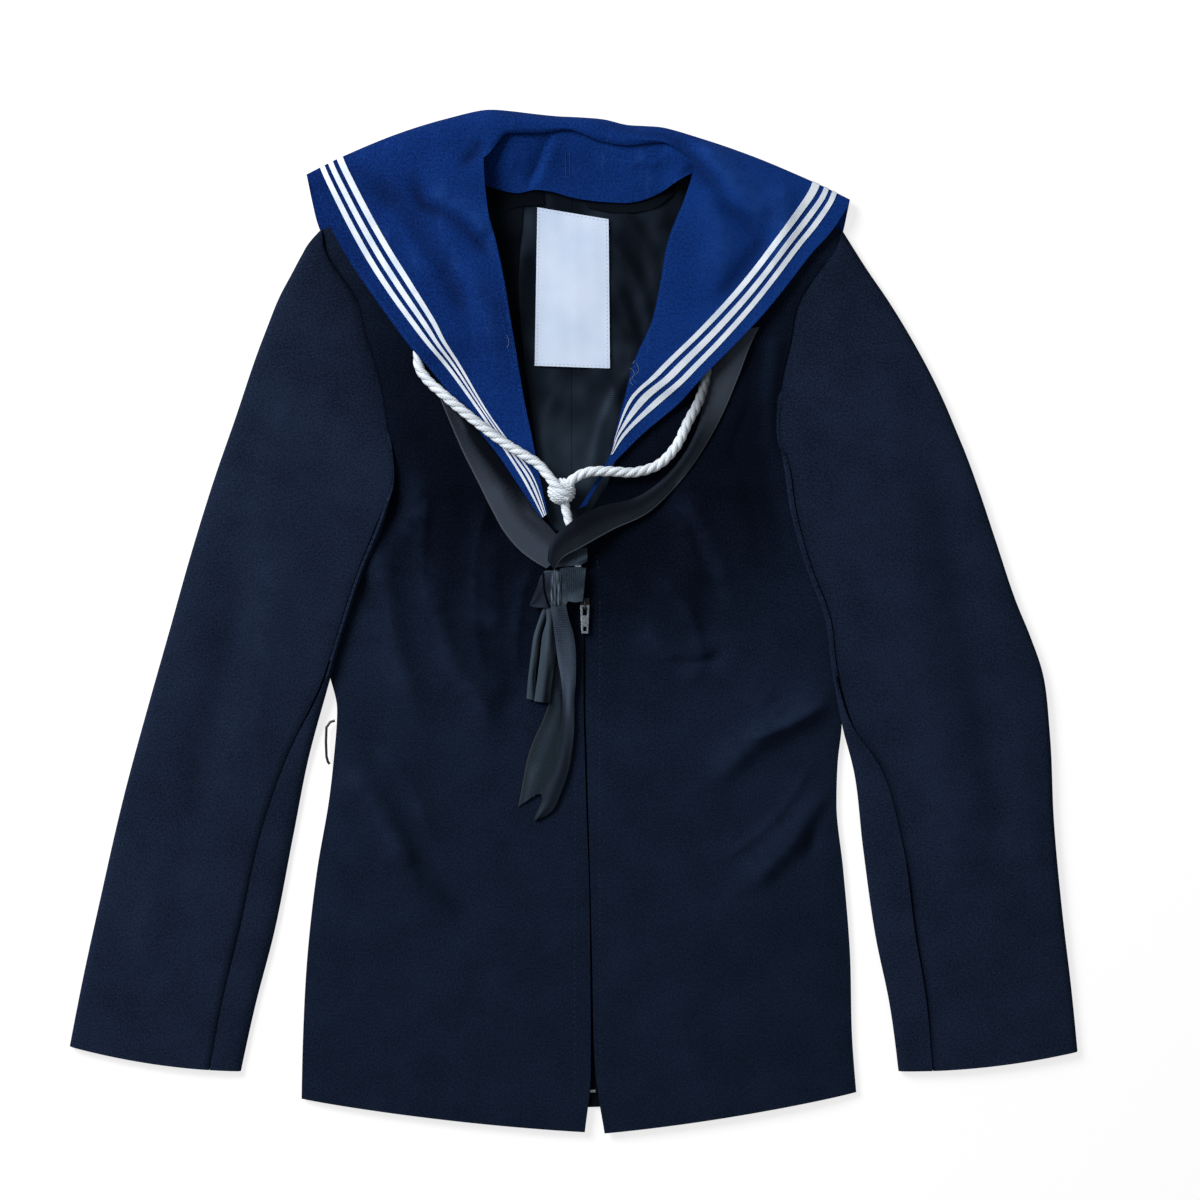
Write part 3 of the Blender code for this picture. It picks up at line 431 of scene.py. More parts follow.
def tube_rings(path: Array, radius: float, sides: int) -> Shape:
    """Makes a closed tube along a path.

    Args:
        path: n by 3 ring centres.
        radius: the tube's radius.
        sides: points round each ring.

    Returns:
        The points, the faces and the texture places (share round, length along in metres).
    """
    aside, up = carried(path)
    turns = np.linspace(0.0, 2 * math.pi, sides, endpoint=False)[:, None]
    points = path[:, None] + radius * (np.cos(turns) * aside[:, None] + np.sin(turns) * up[:, None])
    last = (len(path) - 1) * sides
    faces = [
        [ring + k, ring + k + sides, ring + (k + 1) % sides + sides, ring + (k + 1) % sides]
        for ring in range(0, last, sides)
        for k in range(sides)
    ]
    faces += [list(range(sides)), list(range(last, last + sides))[::-1]]
    round_share = np.tile(np.arange(sides) / sides, len(path))
    return points.reshape(-1, 3), faces, np.stack([round_share, np.repeat(run_along(path) * MM, sides)], -1)


def joined(shapes: Sequence[Shape]) -> Shape:
    """Puts several shapes together.

    Args:
        shapes: the shapes.

    Returns:
        One set of points, faces and texture places.
    """
    points, faces, uvs, start = [], [], [], 0
    for shape_points, shape_faces, uv in shapes:
        points.append(shape_points)
        faces += [[start + k for k in face] for face in shape_faces]
        uvs.append(uv)
        start += len(shape_points)
    return np.concatenate(points), faces, np.concatenate(uvs)


@dataclass(frozen=True)
class Stitching:
    """Thread, as small stitches that sit half in the cloth, in mm."""

    length: float = 2.2
    gap: float = 1.0
    thick: float = 0.5
    # a stitch's ends dip, from a share of its length off its middle and by a share of its thickness
    dip_from: float = 0.35
    dip: float = 0.45

    def stitch(self) -> Block:
        """Shapes one stitch along X, whose ends dip into the cloth.

        Returns:
            Its points and its faces.
        """
        deselect_all()
        bpy.ops.mesh.primitive_uv_sphere_add(segments=6, ring_count=5, radius=0.5)
        stitch = bpy.context.active_object
        bpy.ops.object.mode_set(mode="EDIT")
        bpy.ops.transform.resize(value=(self.thick, self.thick, self.length))
        bpy.ops.mesh.select_all(action="DESELECT")
        bpy.ops.object.mode_set(mode="OBJECT")
        for vertex in stitch.data.vertices:
            vertex.select = abs(vertex.co.z) > self.dip_from * self.length
        bpy.ops.object.mode_set(mode="EDIT")
        bpy.ops.transform.translate(value=(0.0, -self.dip * self.thick, 0.0))
        bpy.ops.object.mode_set(mode="OBJECT")
        points, faces = taken(stitch)
        # the sphere's axis becomes X
        return points[:, [2, 0, 1]], faces

    def sew(self, name: str, lines: Sequence[Array], material: Material, slot: str) -> None:
        """Copies the stitch along lines that already lie on the cloth.

        Args:
            name: the piece's name.
            lines: each line's points, in mm.
            material: the thread.
            slot: the name of its slot; not used.
        """
        points, faces = self.stitch()
        shapes = []
        for line in lines:
            # a stitch spans three of every four steps
            path = route_through(line, (self.length + self.gap) / 4.0)
            for first in range(0, len(path) - 3, 4):
                start, end = path[first], path[first + 3]
                ahead = unit(end - start)
                side = unit(np.cross((0.0, 0.0, 1.0), ahead))
                place = 0.5 * (start + end) + points @ np.array([ahead, side, np.cross(ahead, side)])
                shapes.append((place, faces, place[:, :2] * MM))
        piece = mesh_object(name, *joined(shapes))
        piece.data.materials.append(material)
        dress(piece, slot)


# FINISHES
def linear(code: str) -> tuple[float, float, float, float]:
    """An sRGB hex colour as linear red, green, blue and alpha."""
    channels = [int(code[k : k + 2], 16) / 255.0 for k in (1, 3, 5)]
    return (*[c / 12.92 if c <= 0.04045 else ((c + 0.055) / 1.055) ** 2.4 for c in channels], 1.0)


def add(tree: NodeTree, kind: str, inputs: Optional[dict] = None, out: int | str = 0, **settings: object) -> NodeSocket:
    """Adds a shader node.

    Args:
        tree: the material's node tree.
        kind: the node's type name, after "ShaderNode".
        inputs: what its sockets get, by name or number: another node's output, or a value.
        out: the name or number of the output that is wanted.
        settings: the node's own settings.

    Returns:
        The node's output.
    """
    node = tree.nodes.new("ShaderNode" + kind)
    for key, value in settings.items():
        setattr(node, key, value)
    for key, value in (inputs or {}).items():
        if isinstance(value, NodeSocket):
            tree.links.new(value, node.inputs[key])
        else:
            node.inputs[key].default_value = value
    return node.outputs[out]


SMOOTH = {"interpolation_type": "SMOOTHSTEP"}


def per_metre(pitch_mm: float) -> float:
    """Scale of a noise whose clouds are about a given size."""
    return 1.0 / (pitch_mm * MM)


def threads(pitch_mm: float) -> float:
    """Scale of a wave that repeats at a given pitch: a wave repeats every pi / 10 of its scaled coordinate."""
    return math.pi / 10.0 / (pitch_mm * MM)


class Look(NamedTuple):
    """What a finish paints: how light it is, coats over that in turn, heights in mm, and a roughness that varies."""

    share: NodeSocket
    layers: tuple[tuple[NodeSocket, float], ...]
    coats: tuple[tuple[NodeSocket, str], ...] = ()
    roughness: Optional[NodeSocket] = None


@dataclass(frozen=True)
class Finish:
    """A procedural material on the usual shader."""

    name: str
    roughness: float = 0.8
    metallic: float = 0.0
    sheen: float = 0.0
    specular: float = 0.5
    gloss_tint: str = "#ffffff"
    dark: str = "#000000"
    light: str = "#ffffff"

    def look(self, tree: NodeTree) -> Look:
        """The pattern, which each kind of finish paints in its own way."""
        raise NotImplementedError

    def build(self) -> Material:
        """Makes the material.

        Returns:
            The finished material.
        """
        material = bpy.data.materials.new(self.name)
        material.use_nodes = True
        tree = material.node_tree
        shader = tree.nodes["Principled BSDF"]
        look = self.look(tree)
        plain = {"Metallic": self.metallic, "Sheen Weight": self.sheen, "Specular IOR Level": self.specular}
        for key, value in {**plain, "Sheen Roughness": 0.5, "Roughness": self.roughness}.items():
            shader.inputs[key].default_value = value
        shader.inputs["Sheen Tint"].default_value = linear("#7f8fb0")
        shader.inputs["Specular Tint"].default_value = linear(self.gloss_tint)
        colour = add(tree, "Mix", {0: look.share, 6: linear(self.dark), 7: linear(self.light)}, 2, data_type="RGBA")
        for amount, coat in look.coats:
            colour = add(tree, "Mix", {0: amount, 6: colour, 7: linear(coat)}, 2, data_type="RGBA")
        tree.links.new(colour, shader.inputs["Base Color"])
        if look.roughness is not None:
            tree.links.new(look.roughness, shader.inputs["Roughness"])
        inputs: dict[str, object] = {}
        for height, depth_mm in look.layers:
            normal = add(tree, "Bump", {**inputs, "Height": height, "Strength": 1.0, "Distance": depth_mm * MM})
            inputs = {"Normal": normal}
        tree.links.new(inputs["Normal"], shader.inputs["Normal"])
        return material


def painted_fold_light(tree: NodeTree, wear_and_ridge_highlight: str, deep: str) -> tuple[tuple[NodeSocket, str], ...]:
    """Paints a cloth lighter on its ridges and darker in its folds and seams, as painted highlight and painted shade.

    Args:
        tree: the material's node tree.
        wear_and_ridge_highlight: the painted highlight colour of a ridge.
        deep: the painted shade colour in the bottom of a fold or a seam.

    Returns:
        The two coats that do so.
    """
    # painted highlight on the ridges and painted shade in the folds and seams
    wear_and_fold_shading = add(tree, "Attribute", out="Fac", attribute_name=FOLD_SHADING_NAME)
    place = add(tree, "TexCoord", out="Object")
    patch = add(tree, "TexNoise", {"Vector": place, "Scale": per_metre(9.0), "Detail": 4.0})
    patch = add(tree, "MapRange", {0: patch, 1: 0.35, 2: 0.65, 3: 0.3})
    up = add(tree, "Math", {0: add(tree, "MapRange", {0: wear_and_fold_shading, 4: 0.4}), 1: patch}, operation="MULTIPLY")
    return (up, wear_and_ridge_highlight), (add(tree, "MapRange", {0: wear_and_fold_shading, 2: -1.0, 4: 0.85}), deep)


@dataclass(frozen=True)
class Serge(Finish):
    """Worsted wool serge, woven in a steep twill, milled and pressed.

    The eye sees a matt navy with a faint diagonal, a bloom of fibre ends and a few specks of lint; it is painted darker
    about the chest and in its folds as painted shade, and lighter on its ridges as painted highlight.
    """

    # the painted shade colour, about the chest and in the folds
    deep: str = "#01040e"
    dark: str = "#070e1b"
    light: str = "#192438"
    # the painted highlight colour on the ridges
    wear_and_ridge_highlight: str = "#26334e"
    lint: str = "#4c5a72"
    # serge has about 20 ribs to a centimetre; they are drawn three times as coarse so that they show
    twill_mm: float = 1.5
    # painted shade: the cloth is painted darker round a centre about the chest, over a reach and by a depth
    painted_shade_centre: Triple = (-0.010, 0.155, 0.0)
    painted_shade_reach: Pair = (0.10, 0.30)
    painted_shade_depth: float = 1.02

    def look(self, tree: NodeTree) -> Look:
        """Twill and fibre over a ground that clouds a little, with painted shade about the chest and in the folds and
        painted highlights on the ridges.

        Args:
            tree: the material's node tree.

        Returns:
            What is painted.
        """
        uv = add(tree, "UVMap", uv_map=UV_NAME)
        place = add(tree, "TexCoord", out="Object")
        turned = add(tree, "Mapping", {"Vector": uv, "Rotation": (0.0, 0.0, math.radians(52.0))})
        twill = add(tree, "TexWave", {"Vector": turned, "Scale": threads(self.twill_mm), "Distortion": 2.0}, 1)
        fibre = add(tree, "TexNoise", {"Vector": uv, "Scale": per_metre(1.5), "Detail": 3.0, "Roughness": 0.75})
        cloud = add(tree, "TexNoise", {"Vector": place, "Scale": per_metre(34.0), "Detail": 3.0, "Roughness": 0.6})
        share: float | NodeSocket = -1.3
        for part, weight in ((fibre, 3.2), (twill, 0.14), (cloud, 0.8)):
            share = add(tree, "Math", {0: part, 1: weight, 2: share}, operation="MULTIPLY_ADD")
        share = add(tree, "MapRange", {0: share, 1: 0.1, 2: 1.3})
        # painted shade, darker round the chest
        away = add(tree, "VectorMath", {0: place, 1: self.painted_shade_centre}, "Value", operation="DISTANCE")
        (near, far), depth = self.painted_shade_reach, self.painted_shade_depth
        deep = add(tree, "MapRange", {0: away, 1: near, 2: far, 3: depth, 4: 0.0}, **SMOOTH)
        # the painted shade is thinned where the fibre ends are light
        deep = add(tree, "Math", {0: share, 1: -0.35, 2: deep}, operation="MULTIPLY_ADD")
        speck = add(tree, "TexNoise", {"Vector": uv, "Scale": per_metre(2.6), "Distortion": 1.5})
        speck = add(tree, "MapRange", {0: speck, 1: 0.86, 2: 0.9, 4: 0.25})
        rumple = add(tree, "TexNoise", {"Vector": place, "Scale": per_metre(17.0)})
        coats = ((deep, self.deep), *painted_fold_light(tree, self.wear_and_ridge_highlight, self.deep), (speck, self.lint))
        return Look(share, ((rumple, 0.55), (fibre, 0.2), (twill, 0.09)), coats)


@dataclass(frozen=True)
class Drill(Finish):
    """Blue cotton drill, dyed in the piece and laundered: matt, a fine diagonal, paler where it has rubbed, painted
    lighter towards the wearer's left and on its ridges and darker in its folds.
    """

    # the painted shade colour in the folds
    deep: str = "#03102e"
    dark: str = "#001749"
    light: str = "#0b3379"
    # the colour of rubbed streaks and of painted highlights on the ridges
    wear_and_ridge_highlight: str = "#285199"
    # the drill's ribs are 0.5 mm apart; they are drawn four times as coarse so that they show
    twill_mm: float = 2.0
    # painted light: the drill is painted lighter towards the wearer's left, over a reach in metres and by a share
    painted_light_reach: Pair = (-0.18, 0.12)
    fade: Pair = (-0.14, 0.42)

    def look(self, tree: NodeTree) -> Look:
        """Twill, thread and soft rubbing over a ground that clouds a little, painted lighter towards the wearer's left
        and on the ridges and darker in the folds, as painted light and shade.

        Args:
            tree: the material's node tree.

        Returns:
            What is painted.
        """
        uv = add(tree, "UVMap", uv_map=UV_NAME)
        place = add(tree, "TexCoord", out="Object")
        turned = add(tree, "Mapping", {"Vector": uv, "Rotation": (0.0, 0.0, math.radians(-38.0))})
        twill = add(tree, "TexWave", {"Vector": turned, "Scale": threads(self.twill_mm), "Distortion": 1.5}, 1)
        thread = add(tree, "TexNoise", {"Vector": uv, "Scale": per_metre(1.8), "Detail": 3.0, "Roughness": 0.75})
        cloud = add(tree, "TexNoise", {"Vector": place, "Scale": per_metre(48.0)})
        # painted light, lighter towards the wearer's left
        aside = add(tree, "SeparateXYZ", {0: place})
        (right, left), (low, high) = self.painted_light_reach, self.fade
        share = add(tree, "MapRange", {0: aside, 1: right, 2: left, 3: low, 4: high})
        for part, weight in ((cloud, 0.8), (thread, 2.6), (twill, 0.1)):
            share = add(tree, "Math", {0: part, 1: weight, 2: share}, operation="MULTIPLY_ADD")
        share = add(tree, "MapRange", {0: share, 1: 1.35, 2: 2.3})
        streak = add(tree, "Mapping", {"Vector": place, "Scale": (1.0, 0.3, 1.0), "Rotation": (0.0, 0.0, 0.35)})
        wear_and_fold_shading = add(tree, "TexNoise", {"Vector": streak, "Scale": per_metre(13.0), "Detail": 5.0, "Roughness": 0.7})
        wear_and_fold_shading = add(tree, "MapRange", {0: wear_and_fold_shading, 1: 0.56, 2: 0.8, 4: 0.3}, **SMOOTH)
        rumple = add(tree, "TexNoise", {"Vector": place, "Scale": per_metre(24.0)})
        coats = ((wear_and_fold_shading, self.wear_and_ridge_highlight), *painted_fold_light(tree, self.wear_and_ridge_highlight, self.deep))
        return Look(share, ((rumple, 0.9), (thread, 0.1), (twill, 0.06)), coats)


@dataclass(frozen=True)
class PlainWeave(Finish):
    """A plain woven cotton, such as tape, thread or a label: matt, with fine ribs."""

    dark: str = "#d0dbe9"
    light: str = "#e4ecf5"
    rib_mm: float = 0.9
    cloud_mm: float = 14.0

    def look(self, tree: NodeTree) -> Look:
        """Ribs and fibre over a faintly clouded ground.

        Args:
            tree: the material's node tree.

        Returns:
            What is painted.
        """
        place = add(tree, "TexCoord", out="Object")
        cloud = add(tree, "TexNoise", {"Vector": place, "Scale": per_metre(self.cloud_mm)})
        share = add(tree, "MapRange", {0: cloud, 1: 0.3, 2: 0.7}, **SMOOTH)
        turned = add(tree, "Mapping", {"Vector": place, "Rotation": (0.0, 0.0, 0.35)})
        rib = add(tree, "TexWave", {"Vector": turned, "Scale": threads(self.rib_mm), "Distortion": 0.5}, 1)
        fibre = add(tree, "TexNoise", {"Vector": place, "Scale": per_metre(0.8)})
        return Look(share, ((rib, 0.05), (fibre, 0.06)))


@dataclass(frozen=True)
class Satin(Finish):
    """Black rayon satin: the light that its long floats catch is painted into its colour, as soft bands of painted
    highlight and painted shade that run along the piece.
    """

    dark: str = "#080b12"
    # the light colour is the painted highlight
    light: str = "#39434f"
    edge: str = "#4d545e"
    hem: Pair = (0.0, 0.0)
    # a texture's share across becomes metres on a strip, and stays as it is on a panel
    across: float = 0.02
    stretch: float = 0.3
    # soft bands of painted highlight: their size, and the noise levels between which they show
    band_mm: float = 12.0
    painted_highlight_span: Pair = (0.36, 0.72)
    # painted light and shade: where the lighter part begins and ends, across (as a share) and along (in metres), and
    # how strong it is
    slope: Triple = (0.0, 1.0, 0.0)
    run: Triple = (0.0, 1.0, 0.0)
    # how much of all that painted light leaves the cloth dark, and how much makes it fully light
    lit: Pair = (0.0, 1.0)
    # the ribs of the weft are 0.4 mm apart; they are drawn coarser so that they show
    rib_mm: float = 1.4
    grain: float = 0.12
    crease_mm: float = 0.5

    def look(self, tree: NodeTree) -> Look:
        """Soft bands of painted highlight over a dark ground, fine ribs, and a pale hem at either edge where there is
        one.

        Args:
            tree: the material's node tree.

        Returns:
            What is painted.
        """
        uv = add(tree, "UVMap", uv_map=UV_NAME)
        laid = add(tree, "Mapping", {"Vector": uv, "Scale": (self.across, self.stretch, 1.0)})
        fine = add(tree, "Mapping", {"Vector": uv, "Scale": (self.across, 1.0, 1.0)})
        rib = {"Vector": fine, "Scale": threads(self.rib_mm), "Distortion": 2.0}
        rib = add(tree, "TexWave", rib, 1, bands_direction="Y")
        grit = add(tree, "TexNoise", {"Vector": fine, "Scale": per_metre(1.6)})
        # painted highlight in soft bands, then painted light and shade across and along the piece
        band = add(tree, "TexNoise", {"Vector": laid, "Scale": per_metre(self.band_mm), "Detail": 1.0})
        places = {0: add(tree, "SeparateXYZ", {0: uv}), 1: add(tree, "SeparateXYZ", {0: uv}, 1)}
        low, high = self.painted_highlight_span
        share = add(tree, "MapRange", {0: band, 1: low, 2: high}, **SMOOTH)
        for number, (start, end, weight) in enumerate((self.slope, self.run)):
            span = {0: places[number], 1: start, 2: end, 4: weight}
            more = add(tree, "MapRange", span, **SMOOTH)
            share = add(tree, "Math", {0: share, 1: more}, operation="ADD")
        share = add(tree, "Math", {0: rib, 1: self.grain, 2: share}, operation="MULTIPLY_ADD")
        share = add(tree, "Math", {0: grit, 1: 2.0 * self.grain, 2: share}, operation="MULTIPLY_ADD")
        low, high = (value + 1.5 * self.grain for value in self.lit)
        share = add(tree, "MapRange", {0: share, 1: low, 2: high})
        hems = [(0.06, 0.01, self.hem[0]), (0.94, 0.99, self.hem[1])]
        hems = [add(tree, "MapRange", {0: places[0], 1: start, 2: end, 4: weight}) for start, end, weight in hems]
        fold = add(tree, "TexNoise", {"Vector": laid, "Scale": per_metre(1.6 * self.band_mm), "Detail": 1.0})
        return Look(share, ((fold, self.crease_mm), (rib, 0.04)), tuple((hem, self.edge) for hem in hems))


@dataclass(frozen=True)
class LaidRope(Finish):
    """White cotton rope: each strand is spun from fine yarns that wind along it."""

    dark: str = "#ced9e6"
    light: str = "#e6eef6"
    # the painted shade colour
    rope_painted_shade: str = "#363e47"
    # painted shade: the stretch that lies under the ribbon's end is painted darker; its middle and reach, in metres
    rope_painted_shade_centre: Triple = (0.100, 0.190, 0.015)
    rope_painted_shade_reach: Pair = (0.014, 0.056)

    def look(self, tree: NodeTree) -> Look:
        """Yarns that wind round each strand, loose fluff, and painted shade on one stretch.

        Args:
            tree: the material's node tree.

        Returns:
            What is painted.
        """
        uv = add(tree, "UVMap", uv_map=UV_NAME)
        # the share round a strand becomes metres, so that the yarns cross it at the lay's angle
        wound = add(tree, "Mapping", {"Vector": uv, "Scale": (0.012, 1.0, 1.0), "Rotation": (0.0, 0.0, 0.9)})
        yarn = add(tree, "TexWave", {"Vector": wound, "Scale": threads(1.5), "Distortion": 1.0}, 1)
        place = add(tree, "TexCoord", out="Object")
        fluff = add(tree, "TexNoise", {"Vector": place, "Scale": per_metre(1.2), "Roughness": 0.7})
        share = add(tree, "Math", {0: yarn, 1: fluff}, operation="ADD")
        share = add(tree, "MapRange", {0: share, 1: 0.2, 2: 1.2}, **SMOOTH)
        # painted shade on the stretch under the ribbon's end
        away = add(tree, "VectorMath", {0: place, 1: self.rope_painted_shade_centre}, "Value", operation="DISTANCE")
        near, far = self.rope_painted_shade_reach
        rope_painted_shade = add(tree, "MapRange", {0: away, 1: near, 2: far, 3: 0.85, 4: 0.0}, **SMOOTH)
        return Look(share, ((yarn, 0.12), (fluff, 0.12)), ((rope_painted_shade, self.rope_painted_shade),))


@dataclass(frozen=True)
class Metal(Finish):
    """Die-cast zinc or steel wire, plated or enamelled, with small scuffs."""

    dark: str = "#7d8992"
    light: str = "#b9c3cc"

    def look(self, tree: NodeTree) -> Look:
        """Small scuffs that change the colour and the gloss.

        Args:
            tree: the material's node tree.

        Returns:
            What is painted.
        """
        place = add(tree, "TexCoord", out="Object")
        scuff = add(tree, "TexNoise", {"Vector": place, "Scale": per_metre(1.6), "Detail": 4.0, "Roughness": 0.7})
        share = add(tree, "MapRange", {0: scuff, 1: 0.35, 2: 0.7}, **SMOOTH)
        rough = add(tree, "MapRange", {0: scuff, 3: self.roughness - 0.08, 4: self.roughness + 0.12})
        return Look(share, ((scuff, 0.04),), (), rough)


class Palette:
    """The jumper's finishes, each built once."""

    def __init__(self) -> None:
        """Builds every material."""
        wool = {"roughness": 0.95, "sheen": 0.03, "specular": 0.04}
        self.serge = Serge("Worsted wool serge", **wool).build()
        # the sleeves are the same serge painted lighter, with painted shade towards the shoulders
        self.sleeve_serge_painted_lighter = Serge(
            "Worsted wool serge, sleeves, painted lighter", light="#1f2a40", painted_shade_centre=(0.0, 0.33, 0.0), painted_shade_reach=(0.15, 0.34),
            painted_shade_depth=0.62, **wool,
        ).build()
        self.drill = Drill("Dyed cotton drill", roughness=0.9, specular=0.08).build()
        self.tape = PlainWeave("Woven cotton tape", roughness=0.85, specular=0.2).build()
        gloss = {"roughness": 0.42, "specular": 0.12, "gloss_tint": "#a3bce6"}
        # copies of one black satin, each painted lighter or darker for its piece, with painted highlights and painted
        # shade where the light falls
        self.ribbon = Satin(
            "Black rayon satin", dark="#06080d", light="#383f4b", hem=(0.0, 0.7), slope=(0.2, 0.8, 0.6),
            run=(0.0, 0.165, 0.9), lit=(0.5, 1.15), painted_highlight_span=(0.45, 1.1), **gloss,
        ).build()
        self.ribbon_left = Satin(
            "Folded rayon satin", dark="#0a0c12", light="#383f49", hem=(0.0, 0.8), slope=(0.3, 0.95, 0.3),
            run=(0.150, 0.195, 0.8), painted_highlight_span=(0.58, 0.95), **gloss,
        ).build()
        self.bow = Satin("Ribbed rayon satin", dark="#212a34", light="#4c5a69", grain=0.4, **gloss).build()
        self.leaf = Satin("Shaded rayon satin", dark="#0d121b", light="#2b3340", hem=(0.5, 0.0), **gloss).build()
        self.winding = Satin("Knot rayon satin, painted sheen", dark="#20262f", light="#5c6876", band_mm=4.0, **gloss).build()
        self.tail = Satin(
            "Grey grainy rayon satin", dark="#1b222b", light="#444f5f", run=(0.05, 0.13, -0.8), grain=0.4, band_mm=20.0,
            painted_highlight_span=(0.2, 0.7), **gloss,
        ).build()
        self.loop = Satin(
            "Looped rayon satin", dark="#0a0e14", light="#3d4955", slope=(0.3, 0.65, 0.75), painted_highlight_span=(0.4, 1.0), **gloss,
        ).build()
        self.brown_tail = Satin(
            "Rusty rayon satin", dark="#0b1017", light="#303c46", edge="#54504a", hem=(0.4, 0.4), grain=0.25,
            painted_highlight_span=(0.5, 0.9), run=(0.02, 0.06, 0.5), **gloss,
        ).build()
        # the lining is painted lighter at the foot of the opening and darker up towards the neck band, as painted light
        # and shade
        self.lining = Satin(
            "Grey rayon lining", dark="#070b12", light="#2a3541", across=1.0, band_mm=26.0, stretch=0.7,
            run=(0.20, 0.09, 0.55), painted_highlight_span=(0.3, 1.1), grain=0.05, crease_mm=2.4, **gloss,
        ).build()
        self.facing = Satin(
            "Black facing cloth", roughness=0.85, specular=0.05, dark="#02040a", light="#090f18"
        ).build()
        cotton = {"roughness": 0.9, "specular": 0.1}
        self.label = PlainWeave("Woven label cloth", dark="#c2d2ea", light="#cfdcf2", cloud_mm=40.0, **cotton).build()
        self.thread = PlainWeave("Cotton thread", dark="#8d9bb0", light="#b4c0d2", **cotton).build()
        self.loose = PlainWeave("Loose thread", dark="#6378a4", light="#8c9cc0", **cotton).build()
        self.blue_thread = PlainWeave("Blue thread", dark="#173f86", light="#264f99", **cotton).build()
        self.navy_thread = PlainWeave("Navy thread", dark="#1f2a41", light="#2f3c57", **cotton).build()
        self.rope = LaidRope("Laid cotton rope", roughness=0.95, specular=0.1).build()
        self.pull = Metal("Plated zinc", roughness=0.38, metallic=1.0).build()
        self.black = Metal("Black enamelled metal", roughness=0.45, dark="#0c0d10", light="#1a1c20").build()


# SIZES THAT SEVERAL PIECES SHARE, AND TABLES OF SECTIONS, IN MM
WOOL, COTTON, TAPE = 1.5, 1.0, 1.0
SEAM, LAY = 0.3, 0.5
COLLAR_UNDER = TAPE + LAY
STEP = COLLAR_UNDER + COTTON + SEAM
STEP_START, STEP_END = 88.0, 108.0
SIDE_RISE = 2 * WOOL + 0.4


class PanelRow(NamedTuple):
    """One section of a body panel, from its side edge or armhole to its centre or neck edge."""

    side_x: float
    side_y: float
    centre_x: float
    centre_y: float


class SleeveRow(NamedTuple):
    """One section across a sleeve; seam and hind are the distances in from the inner and outer folds."""

    outer_x: float
    outer_y: float
    inner_x: float
    inner_y: float
    seam: float
    hind: float
    under: float
    edge_height: float = 8.0
    joined: bool = True


class WingRow(NamedTuple):
    """One section across a wing of the collar; inset and band place its tapes, bow lifts its middle."""

    outer_x: float
    outer_y: float
    outer_z: float
    inner_x: float
    inner_y: float
    inner_z: float
    inset: float
    band: float
    bow: float = 0.0


class StripRow(NamedTuple):
    """One section across a ribbon and the height of its top face."""

    left_x: float
    left_y: float
    right_x: float
    right_y: float
    height: float


# right and left are the wearer's
FRONT_RIGHT = table(PanelRow,
    (-209, -361, 6, -386), (-208, -317, 10.5, -339), (-204, -246, 10, -254), (-197, -186, 9, -190),
    (-188, -133, 7, -137), (-184, -97, 6, -100), (-182, -66, 5, -62), (-190, -25, 5, -20), (-190, 20, 5, 18),
    (-182, 50, 4, 46), (-165, 82, -18, 72), (-139, 112, -31, 104), (-144, 151, -38, 148), (-150, 185, -46, 190),
    (-160, 217, -54, 232), (-167, 245, -61, 272), (-182, 268, -69, 308), (-191, 284, -78, 341),
    (-193.2, 298, -80, 347),
)
FRONT_LEFT = table(PanelRow,
    (212, -356, 21, -387), (209, -317, 14, -339), (207, -246, 11.5, -254), (202, -186, 10, -190),
    (197, -137, 8.5, -140), (198, -105, 7.5, -100), (201, -75, 6.5, -62), (201, -35, 6.5, -20), (198, 10, 6.5, 18),
    (191, 52, 6, 46), (184, 84, 8, 77), (174, 106, 22, 103), (152, 145, 34, 143), (155, 182, 44, 180),
    (162, 213, 56, 220), (168, 242, 66, 258), (186, 270, 75, 292), (198, 284, 91, 335), (201.4, 297.5, 93, 341),
)
BACK_NECK = ((-193, 298), (-78, 347), (-48, 334), (6, 328), (60, 331), (91, 341), (202, 296))
BACK_HEM = ((-207, -352), (-100, -362), (0, -368), (100, -362), (210, -349))

SLEEVE_RIGHT = table(SleeveRow,
    (-385, -321, -255, -340, 24, 26, 0, 6.4), (-375, -270, -244, -290, 25, 28, 0, 7.2),
    (-363, -215, -230, -236, 26, 32, 0, 7.8), (-343, -128, -215, -160, 24, 36, 0),
    (-324, -58, -203, -100, 15, 40, 0.6), (-309, -5, -189, -50, 6, 42, 5.6), (-293, 52, -177, -8, 4.5, 44, 7.2),
    (-276, 107, -163, 35, 4.5, 46, 7.4), (-258, 159, -145, 80, 4.5, 48, 7.4), (-246, 195, -139.4, 112.3, -1.5, 50, 7),
    (-241, 209, -141.4, 131.5, -2.2, 51, 3.8), (-236, 222, -144.4, 151.1, 3, 52, STEP, 8, False),
    (-226, 247, -150.4, 185.2, 3, 50, STEP, 8, False), (-217, 264, -160.4, 217.2, 3, 42, STEP, 8, False),
    (-209, 279, -167.5, 245.2, 3, 26, STEP, 8, False), (-203, 289, -182.4, 268.4, 3, 14, STEP, 7.6, False),
    (-194, 299, -191.5, 284.5, 1, 5, STEP, 7.2, False),
)
